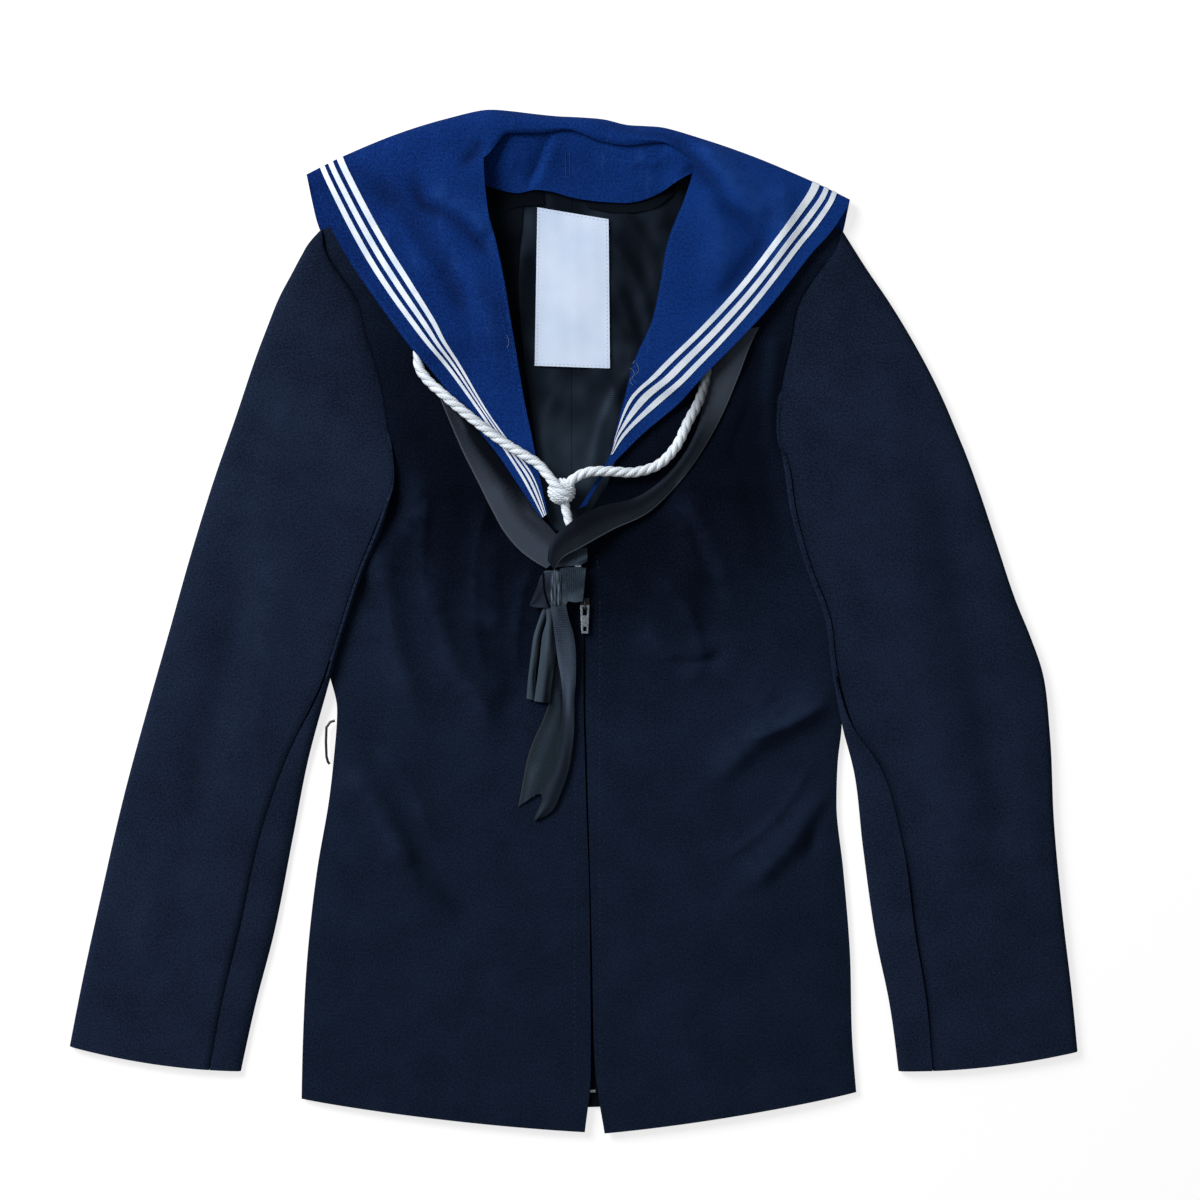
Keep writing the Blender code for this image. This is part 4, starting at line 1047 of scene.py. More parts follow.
SLEEVE_LEFT = table(SleeveRow,
    (380, -325, 244, -340, 26, 26, 0, 6.4), (375, -275, 237, -288, 28, 28, 0, 7.2),
    (369, -225, 227, -240, 30, 32, 0, 7.8), (362, -150, 217, -170, 30, 36, 0), (359, -85, 210, -112, 20, 40, 0.6),
    (354, -40, 201, -78, 8, 42, 5.6), (344, -10, 193, -36, 4.5, 44, 7.2), (333, 17, 188, 2, 4.5, 45, 7.4),
    (318, 62, 172, 46, 4.5, 46, 7.4), (304, 104, 161, 88, 4.5, 47, 8), (296, 126, 157, 116, 4.5, 48, 8.8),
    (287, 148, 152.4, 145.2, -1.5, 50, 7.6), (279, 167, 153.8, 164, -2.2, 51, 4),
    (270, 186, 155.4, 182.2, 3, 52, STEP, 8, False), (252, 219, 162.4, 213.1, 3, 48, STEP, 8, False),
    (236, 245, 168.5, 242.2, 3, 38, STEP, 8, False), (219, 270, 186.4, 270.2, 3, 22, STEP, 7.6, False),
    (201.8, 297.4, 197, 284.4, 1, 5, STEP, 7.2, False),
)

RIGHT_SLEEVE_CREASES = table(Crease,
    (((-222, 60), (-245, -58), (-268, -150)), 1.9, 14, 20),
    (((-256, 40), (-276, -60), (-300, -170)), -1.3, 14, 14),
    (((-305, -150), (-322, -210), (-334, -270)), 1.5, 16, 12),
    (((-236, -190), (-248, -240), (-256, -300)), -1.6, 12, 10),
    (((-210, 200), (-232, 130), (-240, 70)), 1.2, 14, 14),
)
LEFT_SLEEVE_CREASES = table(Crease,
    (((240, 60), (264, -58), (292, -210)), 1.9, 14, 18),
    (((268, 100), (299, -58), (318, -160)), -1.5, 12, 12),
    (((330, -20), (340, -100), (352, -190)), 1.3, 12, 14),
    (((225, 215), (238, 160), (244, 110)), 1.6, 14, 14),
    (((250, -180), (252, -250), (262, -310)), -1.4, 12, 12),
)

WING_RIGHT = table(WingRow,
    (-205, 340, 6.5, -66, 388, 14, 10.6, 19, 6.4), (-202, 333, 11, -68, 378, 26, 10.6, 19, 6),
    (-189, 305, 13, -70, 350, 27, 11.2, 19.6, 4), (-172, 274, 14, -67, 312, 25, 11.2, 20.4, 2),
    (-153, 246, 17.5, -61, 288, 24, 10.4, 20.2), (-130, 214, 20.4, -54, 255, 23.5, 10.6, 16.8),
    (-121, 203, 20.2, -51, 236, 22, 10.6, 13.6), (-107, 187, 15.4, -47, 212, 20, 10.4, 10.6),
    (-83, 156, 13.5, -40, 170, 17, 9.4, 6.6), (-61, 129, 13.5, -33, 136, 15, 6.2, 7.6),
    (-44, 104, 13, -28, 110, 14, 4.8, 8.4), (-27, 79, 12, -22, 83, 12.5, 1.6, 3.4),
)
WING_LEFT = table(WingRow,
    (207, 321, 6.5, 62, 375, 14, 10.4, 20.4, 4.8), (204, 314, 11, 66, 366, 26, 10.2, 20.6, 4.4),
    (193, 297, 13, 88, 346, 27, 10.2, 20.4, 3), (177, 279, 14, 82, 322, 26, 9.4, 19.4, 1.5),
    (157, 253, 15, 69, 289, 25, 9.4, 20.2), (137, 229, 17.5, 63, 257, 24, 9, 21.2),
    (119, 210, 19.6, 57, 229, 22.5, 8.4, 22.6), (99, 190, 20.4, 46, 204, 21.5, 8, 24.2),
    (89, 179, 20, 41, 190, 20.5, 8.8, 24.6), (76, 165, 14.5, 36, 170, 17, 12.4, 24),
    (52, 145, 13.5, 29, 143, 15, 13.4, 9), (38, 131.5, 13.5, 25, 127, 14, 11.6, 1.6),
    (26, 119, 13.5, 18, 113.4, 13.5, 8, 1.2), (7, 89, 12.5, 1.2, 86.5, 12.5, 5, 1),
)


def along(points: Sequence[Sequence[float]], share: float) -> Array:
    """Reads a line by straight interpolation.

    Args:
        points: the line's points, with x rising.
        share: how far along its span in x.

    Returns:
        The point there.
    """
    own = np.asarray(points, float)
    x = own[0, 0] + (own[-1, 0] - own[0, 0]) * share
    return np.array([x] + [np.interp(x, own[:, 0], own[:, k]) for k in range(1, own.shape[1])])


def step_height(y: Array) -> Array:
    """How far the collar's back flap lifts what lies on it."""
    return STEP * smoothstep((np.asarray(y) - STEP_START) / (STEP_END - STEP_START))


class Hold(Enum):
    """How a piece of cloth is held."""

    LAID = "laid"
    FOLDED = "folded"


@dataclass(frozen=True)
class Cut:
    """The flat piece that a panel is cut from, in metres and square metres."""

    width: float
    length: float
    area: Optional[float] = None
    hold: Hold = Hold.LAID

    def declare(self, obj: Object, rests_on: Sequence[str], with_pieces: Sequence[Object] = ()) -> None:
        """Takes a finished panel's cut, and does nothing with it.

        Args:
            obj: the panel; not used.
            rests_on: what it lies on; not used.
            with_pieces: what is sewn to it; not used.
        """

    def lay(self, cloth: Cloth, material: Material, slot: str, rests_on: Sequence[str], *nodes: str) -> Object:
        """Makes a panel of cloth and dresses it.

        Args:
            cloth: the panel's grid.
            material: its finish.
            slot: the name of its slot; not used.
            rests_on: what it lies on; not used.
            nodes: the nodes that it stands for, if any.

        Returns:
            The finished panel.
        """
        piece = cloth.build(material)
        dress(piece, slot, *nodes)
        self.declare(piece, rests_on)
        return piece


ON_LINING = ("neck_lining_right", "neck_lining_left")
ON_FRONTS = ("front_panel_right", "front_panel_left")


def outline(corners: Sequence[Pair]) -> list[tuple[Pair, Pair]]:
    """The sides of a closed shape."""
    return list(zip(corners, (*corners[1:], corners[0])))


class Ground:
    """The top of finished pieces, for what lies on them."""

    def __init__(self, pieces: Sequence[Object]) -> None:
        """Reads the pieces' meshes."""
        bpy.context.view_layer.update()
        self.trees = [BVHTree.FromObject(piece, bpy.context.evaluated_depsgraph_get()) for piece in pieces]

    def height(self, x: float, y: float) -> float:
        """Height in mm of the highest piece at a place, or 0 where there is none."""
        tops = [tree.ray_cast(Vector((x * MM, y * MM, 1.0)), Vector((0.0, 0.0, -1.0)))[0] for tree in self.trees]
        return max([top.z / MM for top in tops if top is not None], default=0.0)

    def heights(self, grid: Array) -> Array:
        """Heights under each point of a grid."""
        flat = grid.reshape(-1, grid.shape[-1])
        return np.array([self.height(point[0], point[1]) for point in flat]).reshape(grid.shape[:-1])

    def lay(self, line: Sequence[Sequence[float]], lift: float, step: float = 1.0) -> Array:
        """A line drawn from above, laid on the pieces and lifted by some mm."""
        path = route_through(line, step)[:, :2]
        return np.column_stack([path, self.heights(path) + lift])


def face_up(grid: Array) -> Array:
    """The grid of a strip, turned over if its face is down."""
    turn = np.cross(grid[0, -1] - grid[0, 0], grid[1, 0] - grid[0, 0])[2]
    return grid[:, ::-1] if turn < 0.0 else grid


# BODY
@dataclass
class Fronts:
    """The two front panels, which meet over the zip and part at the neck."""

    finishes: Palette
    right: tuple[PanelRow, ...] = FRONT_RIGHT
    left: tuple[PanelRow, ...] = FRONT_LEFT
    columns: tuple[float, ...] = (0.0, 0.02, 0.07, 0.16, 0.27, 0.39, 0.51, 0.63, 0.75, 0.87, 0.95, 1.0)
    hem_bow: float = -3.0
    crown: float = 3.4
    crown_run: float = 14.0
    edge_top: float = 6.0
    armhole_dip: float = 1.4
    # the front edges part above the first height; the armhole begins at the second and is whole a little higher
    opening_foot: float = 60.0
    armhole_foot: Pair = (95.0, 20.0)
    armhole_runs: Pair = (1.6, 0.9)
    # the creases die away towards the side and the centre, and a crease as deep as the depth set below is painted fully
    # lighter on its ridge or darker in its fold, as painted highlight and painted shade
    quiet_runs: Pair = (10.0, 16.0)
    fold_shading_depth: float = 11.0
    depth: float = 1.9
    lowest: float = 3.3
    step: float = 2.6
    topstitch: tuple[Line, ...] = (
        ((17.5, 17), (17.5, -120), (17.5, -351)), ((-1.5, -104), (-1.5, -362)), ((14.5, 52), (17, 38))
    )
    right_cut: Cut = Cut(0.225, 0.740, 0.122)
    left_cut: Cut = Cut(0.225, 0.740, 0.119)
    creases: tuple[Crease, ...] = table(Crease,
        (((-128, 119), (-125, 81), (-144, 53), (-141, -5), (-131, -42), (-119, -71)), 3.2, 10, 15),
        (((-108, 35), (-104, -5), (-91, -37), (-72, -63), (-65, -84)), 3.4, 9, 12),
        (((-59, 72), (-62, 27), (-62, -12)), 2.6, 10, 13),
        (((-181, -119), (-160, -122), (-140, -155), (-125, -187)), 3.6, 8, 14),
        (((152, 219), (144, 160)), 2.2, 8, 10), (((196, -59), (136, -89), (104, -119)), 3.2, 9, 15),
        (((194, -131), (162, -166), (132, -198)), 3.4, 8, 15), (((-166, 35), (-156, 17), (-151, 5)), -2, 8, 8),
        (((-93, 138), (-82, 72), (-89, 35)), -1.6, 12, 12),
        (((-83, -5), (-65, -24), (-49, -46), (-57, -71)), -2.2, 9, 9),
        (((-162, -112), (-125, -166), (-108, -199), (-83, -227)), -2.4, 9, 9),
        (((134, 215), (138, 169), (120, 120)), -2.6, 9, 11), (((97, 40), (97, -13)), -1.6, 10, 10),
        (((195, -135), (179, -155), (175, -176)), -2.2, 6, 6),
        (((82, 100), (90, 74), (103, 49), (114, 27)), 2.6, 9, 16), (((49, -5), (72, -24), (98, -40)), 2.4, 8, 12),
        (((104, -24), (124, -37), (149, -61)), 1.6, 10, 14), (((-140, 140), (-138, 95), (-141, 45)), -2.8, 12, 12),
        (((-58, 112), (-58, 60), (-56, 0)), -2.4, 8, 12), (((134, 140), (140, 90), (152, 40)), -2.4, 14, 14),
        (((86, 78), (94, 50), (108, 20)), -2, 5, 9, True), (((70, -28), (92, -29), (113, -22)), -2, 4, 8, True),
        (((-34, 44), (-44, 10), (-46, -40)), 1.8, 5, 9, True),
        (((-66, 96), (-76, 62), (-78, 10), (-72, -34)), 2, 6, 12, True),
        (((-112, 96), (-118, 50), (-114, 6)), 1.8, 6, 12, True),
        (((-150, -96), (-128, -120), (-112, -158)), 1.6, 5, 12, True),
        (((60, 36), (84, 10), (96, -34)), 1.8, 6, 12, True), (((188, -60), (160, -78), (128, -88)), 2, 5, 12, True),
        (((176, -110), (148, -150), (112, -178)), 1.6, 6, 12, True),
        (((-40, -250), (-60, -290), (-62, -330)), 0.8, 20, 20), (((90, -240), (80, -300), (92, -350)), 0.8, 22, 22),
    )

    def control(self, rows: Sequence[PanelRow]) -> Array:
        """Sets out one panel, flat.

        Args:
            rows: the panel's sections.

        Returns:
            Its own points: x, y and the distances from the two edges.
        """
        grid = []
        for number, row in enumerate(rows):
            side, centre = np.array(row[:2], float), np.array(row[2:], float)
            width = float(np.linalg.norm(centre - side))
            for share in self.columns:
                x, y = side + (centre - side) * share
                bow = self.hem_bow * 4.0 * share * (1.0 - share) if number == 0 else 0.0
                grid.append((x, y + bow, width * share, width * (1.0 - share)))
        return np.array(grid).reshape(len(rows), len(self.columns), 4)

    def grid(self, rows: Sequence[PanelRow]) -> tuple[Array, Array]:
        """Drapes one panel.

        Args:
            rows: the panel's sections.

        Returns:
            Its dense grid of points, and how far each is painted lighter on a ridge or darker in a fold or along the
            armhole seam.
        """
        own = self.control(rows)
        plan = SmoothSheet(np.concatenate([own[..., :2], np.zeros(own.shape[:2] + (1,))], -1))
        row_places = plan.spread(plan.row_knots, self.step)
        column_places = plan.spread(plan.column_knots, self.step)
        points = plan.at(row_places, column_places)
        plan.control = np.concatenate([own[..., 2:], np.zeros(own.shape[:2] + (1,))], -1)
        reaches = np.maximum(plan.at(row_places, column_places), 0.0)
        x, y, side, centre = points[..., 0], points[..., 1], reaches[..., 0], reaches[..., 1]
        base = SIDE_RISE + self.crown * (1.0 - np.exp(-side / self.crown_run))
        base += (self.edge_top - base) * np.exp(-centre / self.crown_run) * (y < self.opening_foot)
        armhole = smoothstep((y - self.armhole_foot[0]) / self.armhole_foot[1])
        base -= self.armhole_dip * np.exp(-side / self.armhole_runs[0]) * armhole
        quiet = (1.0 - np.exp(-side / self.quiet_runs[0])) * (1.0 - np.exp(-centre / self.quiet_runs[1]))
        folds = self.depth * relief(self.creases, x, y) * quiet
        points[..., 2] = np.maximum(base + folds, self.lowest) + step_height(y)
        # painted shade along the armhole seam, under the painted light and shade of the folds
        seam = np.exp(-side / self.armhole_runs[1]) * armhole
        return points, np.clip(folds / self.fold_shading_depth, -1.0, 1.0) - seam

    def build(self) -> list[Object]:
        """Makes both fronts.

        Returns:
            The two panels.
        """
        pieces = []
        for name, rows, cut in (("right", self.right, self.right_cut), ("left", self.left, self.left_cut)):
            grid, wear_and_fold_shading = self.grid(rows)
            if name == "left":
                grid, wear_and_fold_shading = grid[:, ::-1], wear_and_fold_shading[:, ::-1]
            cloth = Cloth("front_panel_" + name, grid, WOOL, wear_and_fold_shading=wear_and_fold_shading)
            pieces.append(cut.lay(cloth, self.finishes.serge, "wool_serge", ["back"], "front_" + name))
        top = Ground(pieces)
        lines = [top.lay(line, 0.1) for line in self.topstitch]
        Stitching(2.2, 2.0, 0.5).sew("front_topstitch", lines, self.finishes.navy_thread, "wool_serge")
        return pieces


@dataclass
class Back:
    """The back panel, which lies face down under everything."""

    finishes: Palette
    columns: tuple[float, ...] = (0.0, 0.1, 0.2, 0.294, 0.37, 0.505, 0.64, 0.722, 0.81, 0.9, 1.0)
    inset: float = 0.6
    closest_row: float = 0.05
    flat_below: float = STEP_START - 30.0
    step: float = 5.0
    # the creases die away near the sides, the hem and the neck: from where, and over how far
    quiet_side: Pair = (190.0, 40.0)
    quiet_hem: Pair = (-350.0, 50.0)
    quiet_neck: Pair = (80.0, 40.0)
    cut: Cut = Cut(0.430, 0.760, 0.255)
    creases: tuple[Crease, ...] = table(Crease,
        (((-120, -260), (-90, -180), (-110, -90)), 0.9, 14, 18), (((60, -300), (90, -200), (80, -120)), 1, 16, 14),
        (((-60, -60), (-20, -20), (40, -10)), 0.9, 12, 14), (((110, -60), (150, -20), (160, 30)), 0.8, 12, 12),
        (((-150, 0), (-120, 30), (-110, 60)), 0.9, 12, 12),
    )

    def line(self, right: float, left: float, heights: Sequence[float]) -> list[Triple]:
        """A row of the back between its side edges."""
        start, end = right + self.inset, left - self.inset
        return [(start + (end - start) * share, y, 0.0) for share, y in zip(self.columns, heights)]

    def control(self) -> Array:
        """Sets out the back, flat.

        Returns:
            Its own points, from the hem to the neck.
        """
        grid = [[(*along(BACK_HEM, share), 0.0) for share in self.columns]]
        pairs = list(zip(FRONT_RIGHT, FRONT_LEFT))
        for right, left in pairs[1:]:
            if right.side_y < self.flat_below:
                heights = [right.side_y + (left.side_y - right.side_y) * share for share in self.columns]
                grid.append(self.line(right.side_x, left.side_x, heights))
        for y in (STEP_START, STEP_END):
            edges = [
                float(np.interp(y, [row.side_y for row in rows], [row.side_x for row in rows]))
                for rows in (FRONT_RIGHT, FRONT_LEFT)
            ]
            grid.append(self.line(edges[0], edges[1], [y] * len(self.columns)))
        top = FRONT_RIGHT[-1].side_y
        for right, left in pairs:
            rise = (right.side_y - STEP_END) / (top - STEP_END)
            if rise > self.closest_row:
                heights = [STEP_END + (along(BACK_NECK, share)[1] - STEP_END) * rise for share in self.columns]
                heights[0], heights[-1] = right.side_y, left.side_y
                grid.append(self.line(right.side_x, left.side_x, heights))
        return np.array(grid)

    def build(self) -> None:
        """Makes the back with shallow creases on its underside."""
        points = SmoothSheet(self.control()).dense(self.step)
        x, y = points[..., 0], points[..., 1]
        inner = smoothstep((self.quiet_side[0] - np.abs(x)) / self.quiet_side[1])
        inner *= smoothstep((y - self.quiet_hem[0]) / self.quiet_hem[1])
        inner *= smoothstep((self.quiet_neck[0] - y) / self.quiet_neck[1])
        points[..., 2] = step_height(y) + relief(self.creases, x, y) * inner
        cloth = Cloth("back_panel", points, WOOL, face_down=True)
        self.cut.lay(cloth, self.finishes.serge, "wool_serge", [], "back")


@dataclass
class Sleeve:
    """A flattened two-piece sleeve: a top sleeve and an under sleeve with a forearm and a hind seam."""

    finishes: Palette
    side: str
    rows: tuple[SleeveRow, ...]
    creases: tuple[Crease, ...]
    grain_deg: float
    shares: tuple[float, ...] = (0.0, 0.14, 0.34, 0.56, 0.78, 1.0)
    fold_width: float = 4.5
    fold_share: float = 0.3
    # the outer fold, as shares of its width in from the edge and of the edge's height
    fold_profile: Line = ((0.22, 0.80), (0.0, 0.45), (0.3, 0.12), (1.0, 0.0))
    cuff_crown: float = 0.5
    crown: float = 2.4
    flat_cuff: float = 6.5
    cuff_bow: float = -4.0
    under_run: Triple = (10.0, 24.0, 45.0)
    back_inset: float = 0.6
    # at the armhole the sleeve's edge tucks under the front's: how far, and how deep it dips there
    tuck: float = 2.4
    tuck_dip: float = 1.3
    # how far the top sleeve stands above the under sleeve at its seam, first where that one lies flat
    seam_rise: Pair = (6.4, 5.0)
    dip_share: float = 0.12
    dip_run: float = 2.6
    # the forearm seam's groove: its depth, its width, how far up it shows and how much where it follows the fold
    seam_depth: float = 0.7
    seam_run: float = 2.0
    seam_reach: float = 0.72
    seam_hidden: float = 0.3
    # painted shade along the forearm seam, how dark and how wide; then the depth of a crease that is painted fully
    # lighter on its ridge or darker in its fold
    seam_painted_shade: Pair = (0.9, 2.6)
    fold_shading_depth: float = 5.0
    step: float = 3.0
    top_cut: Cut = Cut(0.200, 0.650, 0.099)
    under_cut: Cut = Cut(0.140, 0.640, 0.064)

    def section(self, row: SleeveRow) -> tuple[list[Pair], list[Pair]]:
        """Draws one section of the flattened tube.

        Args:
            row: the section's sizes.

        Returns:
            Distances from the inner edge and heights, for the top sleeve and for the under sleeve.
        """
        width = math.hypot(row.outer_x - row.inner_x, row.outer_y - row.inner_y)
        high = row.edge_height
        crown = self.cuff_crown if high < self.flat_cuff else self.crown
        fold = min(self.fold_width, self.fold_share * width)
        hind = max(row.hind, fold + 2.0)
        inner_top, start, dip = SIDE_RISE + STEP, -self.tuck, self.tuck_dip
        if row.joined:
            rise = self.seam_rise[0] if row.under < 1.0 else self.seam_rise[1]
            inner_top = row.under + rise
            start, dip = row.seam, self.dip_share * (inner_top - row.under)

        def top(distance: float) -> float:
            """Height of the top sleeve at a distance from its inner edge."""
            level = inner_top + (high - inner_top + crown * 4.0 * (1.0 - distance / width)) * distance / width
            return level - dip * math.exp(-(distance - min(start, 0.0)) / self.dip_run)

        inner_end = width - fold
        over = [(place, top(place)) for place in (start + (inner_end - start) * share for share in self.shares)]
        over += [(width - back * fold, up * high) for back, up in self.fold_profile] + [(width - hind, 0.0)]
        last = width - hind - SEAM
        span = min(1.0, last / (self.under_run[2] + 4.0))
        flat, slope, end = (span * value for value in self.under_run)
        if row.joined:
            depth = inner_top - row.under
            edge = max(row.seam - SEAM - 5.0 * math.exp(-row.seam / 4.5), 0.2)
            under = [(edge, top(edge)), (0.45 * max(min(row.seam, 5.0), 0.0), row.under + 0.86 * depth)]
            under += [(0.0, row.under + 0.5 * depth), (1.6, row.under + 0.1 * depth)]
            under += [(flat, row.under), (slope, 0.64 * row.under)]
        else:
            inset = self.back_inset
            under = [(inset + share * (flat - inset), row.under) for share in (0.0, 0.2, 0.4, 0.7, 1.0)]
            under += [(slope, 0.0)]
        return over, under + [(end, 0.0), (last, 0.0)]

    def grids(self) -> tuple[Array, Array, Array]:
        """Drapes the sleeve.

        Returns:
            Dense grids of the top sleeve and the under sleeve, and how far the top sleeve is painted lighter on its
            ridges or darker in its folds and along its seam.
        """
        controls: tuple[list, list] = ([], [])
        for number, row in enumerate(self.rows):
            inner, outer = np.array([row.inner_x, row.inner_y], float), np.array([row.outer_x, row.outer_y], float)
            width = float(np.linalg.norm(outer - inner))
            for section, control in zip(self.section(row), controls):
                line = []
                for distance, height in section:
                    share = distance / width
                    x, y = inner + (outer - inner) * share
                    bow = self.cuff_bow * 4.0 * share * (1.0 - share) if number == 0 else 0.0
                    line.append((x, y + bow, height))
                control.append(line)
        over = SmoothSheet(np.array(controls[0]))
        rows, columns = over.spread(over.row_knots, self.step), over.spread(over.column_knots, self.step)
        points = over.at(rows, columns)
        upper = 1.0 - smoothstep((columns - over.column_knots[4]) / (over.column_knots[5] - over.column_knots[4] + 2.0))
        # where the forearm seam runs along the fold it hardly shows
        marks = [self.seam_hidden if row.joined and row.seam < 10.0 else 1.0 for row in self.rows]
        shown = np.interp(rows, over.row_knots, marks)[:, None]
        seam = self.seam_depth * np.exp(-((columns / self.seam_run) ** 2)) * shown
        seam = seam * (rows[:, None] < self.seam_reach * rows[-1])
        folds = relief(self.creases, points[..., 0], points[..., 1]) * upper[None, :]
        points[..., 2] += folds - seam
        # painted highlight on the ridges, painted shade in the folds and along the seam
        wear_and_fold_shading = np.clip(folds / self.fold_shading_depth, -1.0, 1.0)
        wear_and_fold_shading = wear_and_fold_shading - self.seam_painted_shade[0] * np.exp(-((columns / self.seam_painted_shade[1]) ** 2)) * shown
        below = SmoothSheet(np.array(controls[1])).dense(self.step)
        points[..., 2], below[..., 2] = np.maximum(points[..., 2], 0.0), np.maximum(below[..., 2], 0.0)
        return points, below, wear_and_fold_shading

    def build(self) -> None:
        """Makes the sleeve's two panels."""
        over, under, wear_and_fold_shading = self.grids()
        if self.side == "right":
            over, wear_and_fold_shading = over[:, ::-1], wear_and_fold_shading[:, ::-1]
        else:
            under = under[:, ::-1]
        wool = self.finishes.sleeve_serge_painted_lighter
        top = Cloth("top_sleeve_" + self.side, over, WOOL, grain_deg=self.grain_deg, wear_and_fold_shading=wear_and_fold_shading)
        self.top_cut.lay(top, wool, "wool_serge", [], "sleeve_top_" + self.side)
        low = Cloth("under_sleeve_" + self.side, under, WOOL, grain_deg=self.grain_deg)
        self.under_cut.lay(low, wool, "wool_serge", [], "sleeve_under_" + self.side)


# COLLAR
@dataclass
class Collar:
    """The sailor collar: a back flap under the body, a roll at the neck and two wings with three tapes."""

    finishes: Palette
    tape_width: float = 5.0
    tape_pitch: float = 7.7
    tape_inset: float = 10.5
    tape_count: int = 3
    tape_stops: tuple[int, int] = (11, 11)
    # each tape draws in a little where its edges are turned under
    tape_turn: float = 0.35
    wing_shares: Triple = (0.36, 0.7, 1.0)
    # a wing that is wider than this rises in a soft curve
    curved_width: float = 30.0
    middle: tuple[float, ...] = (0.12, 0.26, 0.4, 0.54, 0.68, 0.81, 0.92)
    flap_edge: float = 114.0
    flap_sides: Line = ((114, 130), (213, 148), (242, 158), (268, 180), (290, 196))
    flap_rows: tuple[float, ...] = (0.0, 10.5, 30.9, 92.0, 128.0, 168.0)
    tuck: Pair = (0.985, -16.0)
    fold_top: float = 14.0
    silhouette: Line = ((-66, 388), (-43, 386.5), (-24, 383.5), (17, 381.5), (38, 376.5), (62, 375))
    roll_top: Line = ((-68, 378), (-43, 378), (-24, 377), (17, 374), (38, 369), (66, 366))
    roll_edge: Line = (
        (-70, 350), (-62, 366), (-50, 369), (-28, 369), (-7, 371), (8, 366), (23, 361), (48, 359), (60, 362),
        (73, 361), (82, 356), (88, 346),
    )
    roll_heights: Pair = (26.0, 24.0)
    tape_lift: float = 0.5
    tape_wall: float = 0.45
    step: float = 2.4
    depth: float = 1.5
    # a crease this deep is painted fully lighter on its ridge or darker in its fold
    fold_shading_depth: float = 6.0
    edge_stitch: float = 1.9
    stitch_end: float = 132.0
    # the flap is folded a little off its middle: by how much, from where and over how far
    flap_shift: Triple = (3.6, 235.0, 40.0)
    stitched_box: Line = ((-73, 244), (-60, 247), (-48, 190), (-59, 187))
    loose_threads: tuple[Line, ...] = (
        ((44, 198), (41, 193), (43.5, 188), (40, 183), (43, 179)), ((45, 196), (46.5, 190), (42, 185), (45, 181)),
        ((-53, 217), (-51, 212), (-53, 207)),
    )
    cut: Cut = Cut(0.420, 0.560, 0.133, Hold.FOLDED)
    creases: tuple[Crease, ...] = table(Crease,
        (((-157, 336), (-132, 311), (-112, 281), (-92, 254), (-82, 230)), -3, 9, 8),
        (((-122, 336), (-115, 315), (-97, 307), (-79, 293), (-64, 275)), -3.4, 8, 6, True),
        (((-108, 330), (-99, 318), (-80, 306), (-66, 292)), 2.6, 9, 8),
        (((-140, 318), (-122, 288), (-103, 258)), 1.8, 10, 7), (((-86, 345), (-77, 352), (-72, 362)), -1.8, 4, 5),
        (((-96, 268), (-72, 240), (-60, 205)), 1.4, 10, 10),
        (((88, 362), (104, 348), (120, 328), (130, 314), (146, 300)), 2.6, 16, 6),
        (((78, 359), (91, 345), (107, 327), (116, 312), (131, 303), (143, 292)), -2.2, 6, 8),
        (((143, 292), (131, 273), (119, 258), (108, 246)), -1.6, 9, 6),
        (((100, 330), (110, 290), (104, 262)), 1.6, 12, 12), (((150, 330), (158, 300), (150, 275)), 1.8, 9, 9),
        (((10, 380), (36, 374), (70, 366), (92, 356)), -1.6, 5, 5),
    )

    def __post_init__(self) -> None:
        """Sets out the collar's surface, and places at most a step apart along its rows and its columns."""
        self.sheet = SmoothSheet(self.control())
        self.rows = self.sheet.spread(self.sheet.row_knots, self.step)
        self.columns = self.sheet.spread(self.sheet.column_knots, self.step)

    @property
    def tape_band(self) -> float:
        """Width of all the tapes together."""
        return (self.tape_count - 1) * self.tape_pitch + self.tape_width

    def wing_line(self, row: WingRow) -> Array:
        """Draws one section across a wing.

        Args:
            row: the section's sizes.

        Returns:
            Its points, from the outer edge to the inner edge.
        """
        outer, inner = np.array(row[:3], float), np.array(row[3:6], float)
        width = float(np.linalg.norm((inner - outer)[:2]))
        first, second = row.inset / width, (row.inset + row.band) / width
        shares = np.array([0.0, first, second] + [second + (1.0 - second) * share for share in self.wing_shares])
        points = outer + (inner - outer) * shares[:, None]
        points[:, 1] += row.bow * 4.0 * shares * (1.0 - shares)
        if width > self.curved_width:
            points[:, 2] = outer[2] + (inner[2] - outer[2]) * smoothstep(shares)
        return points

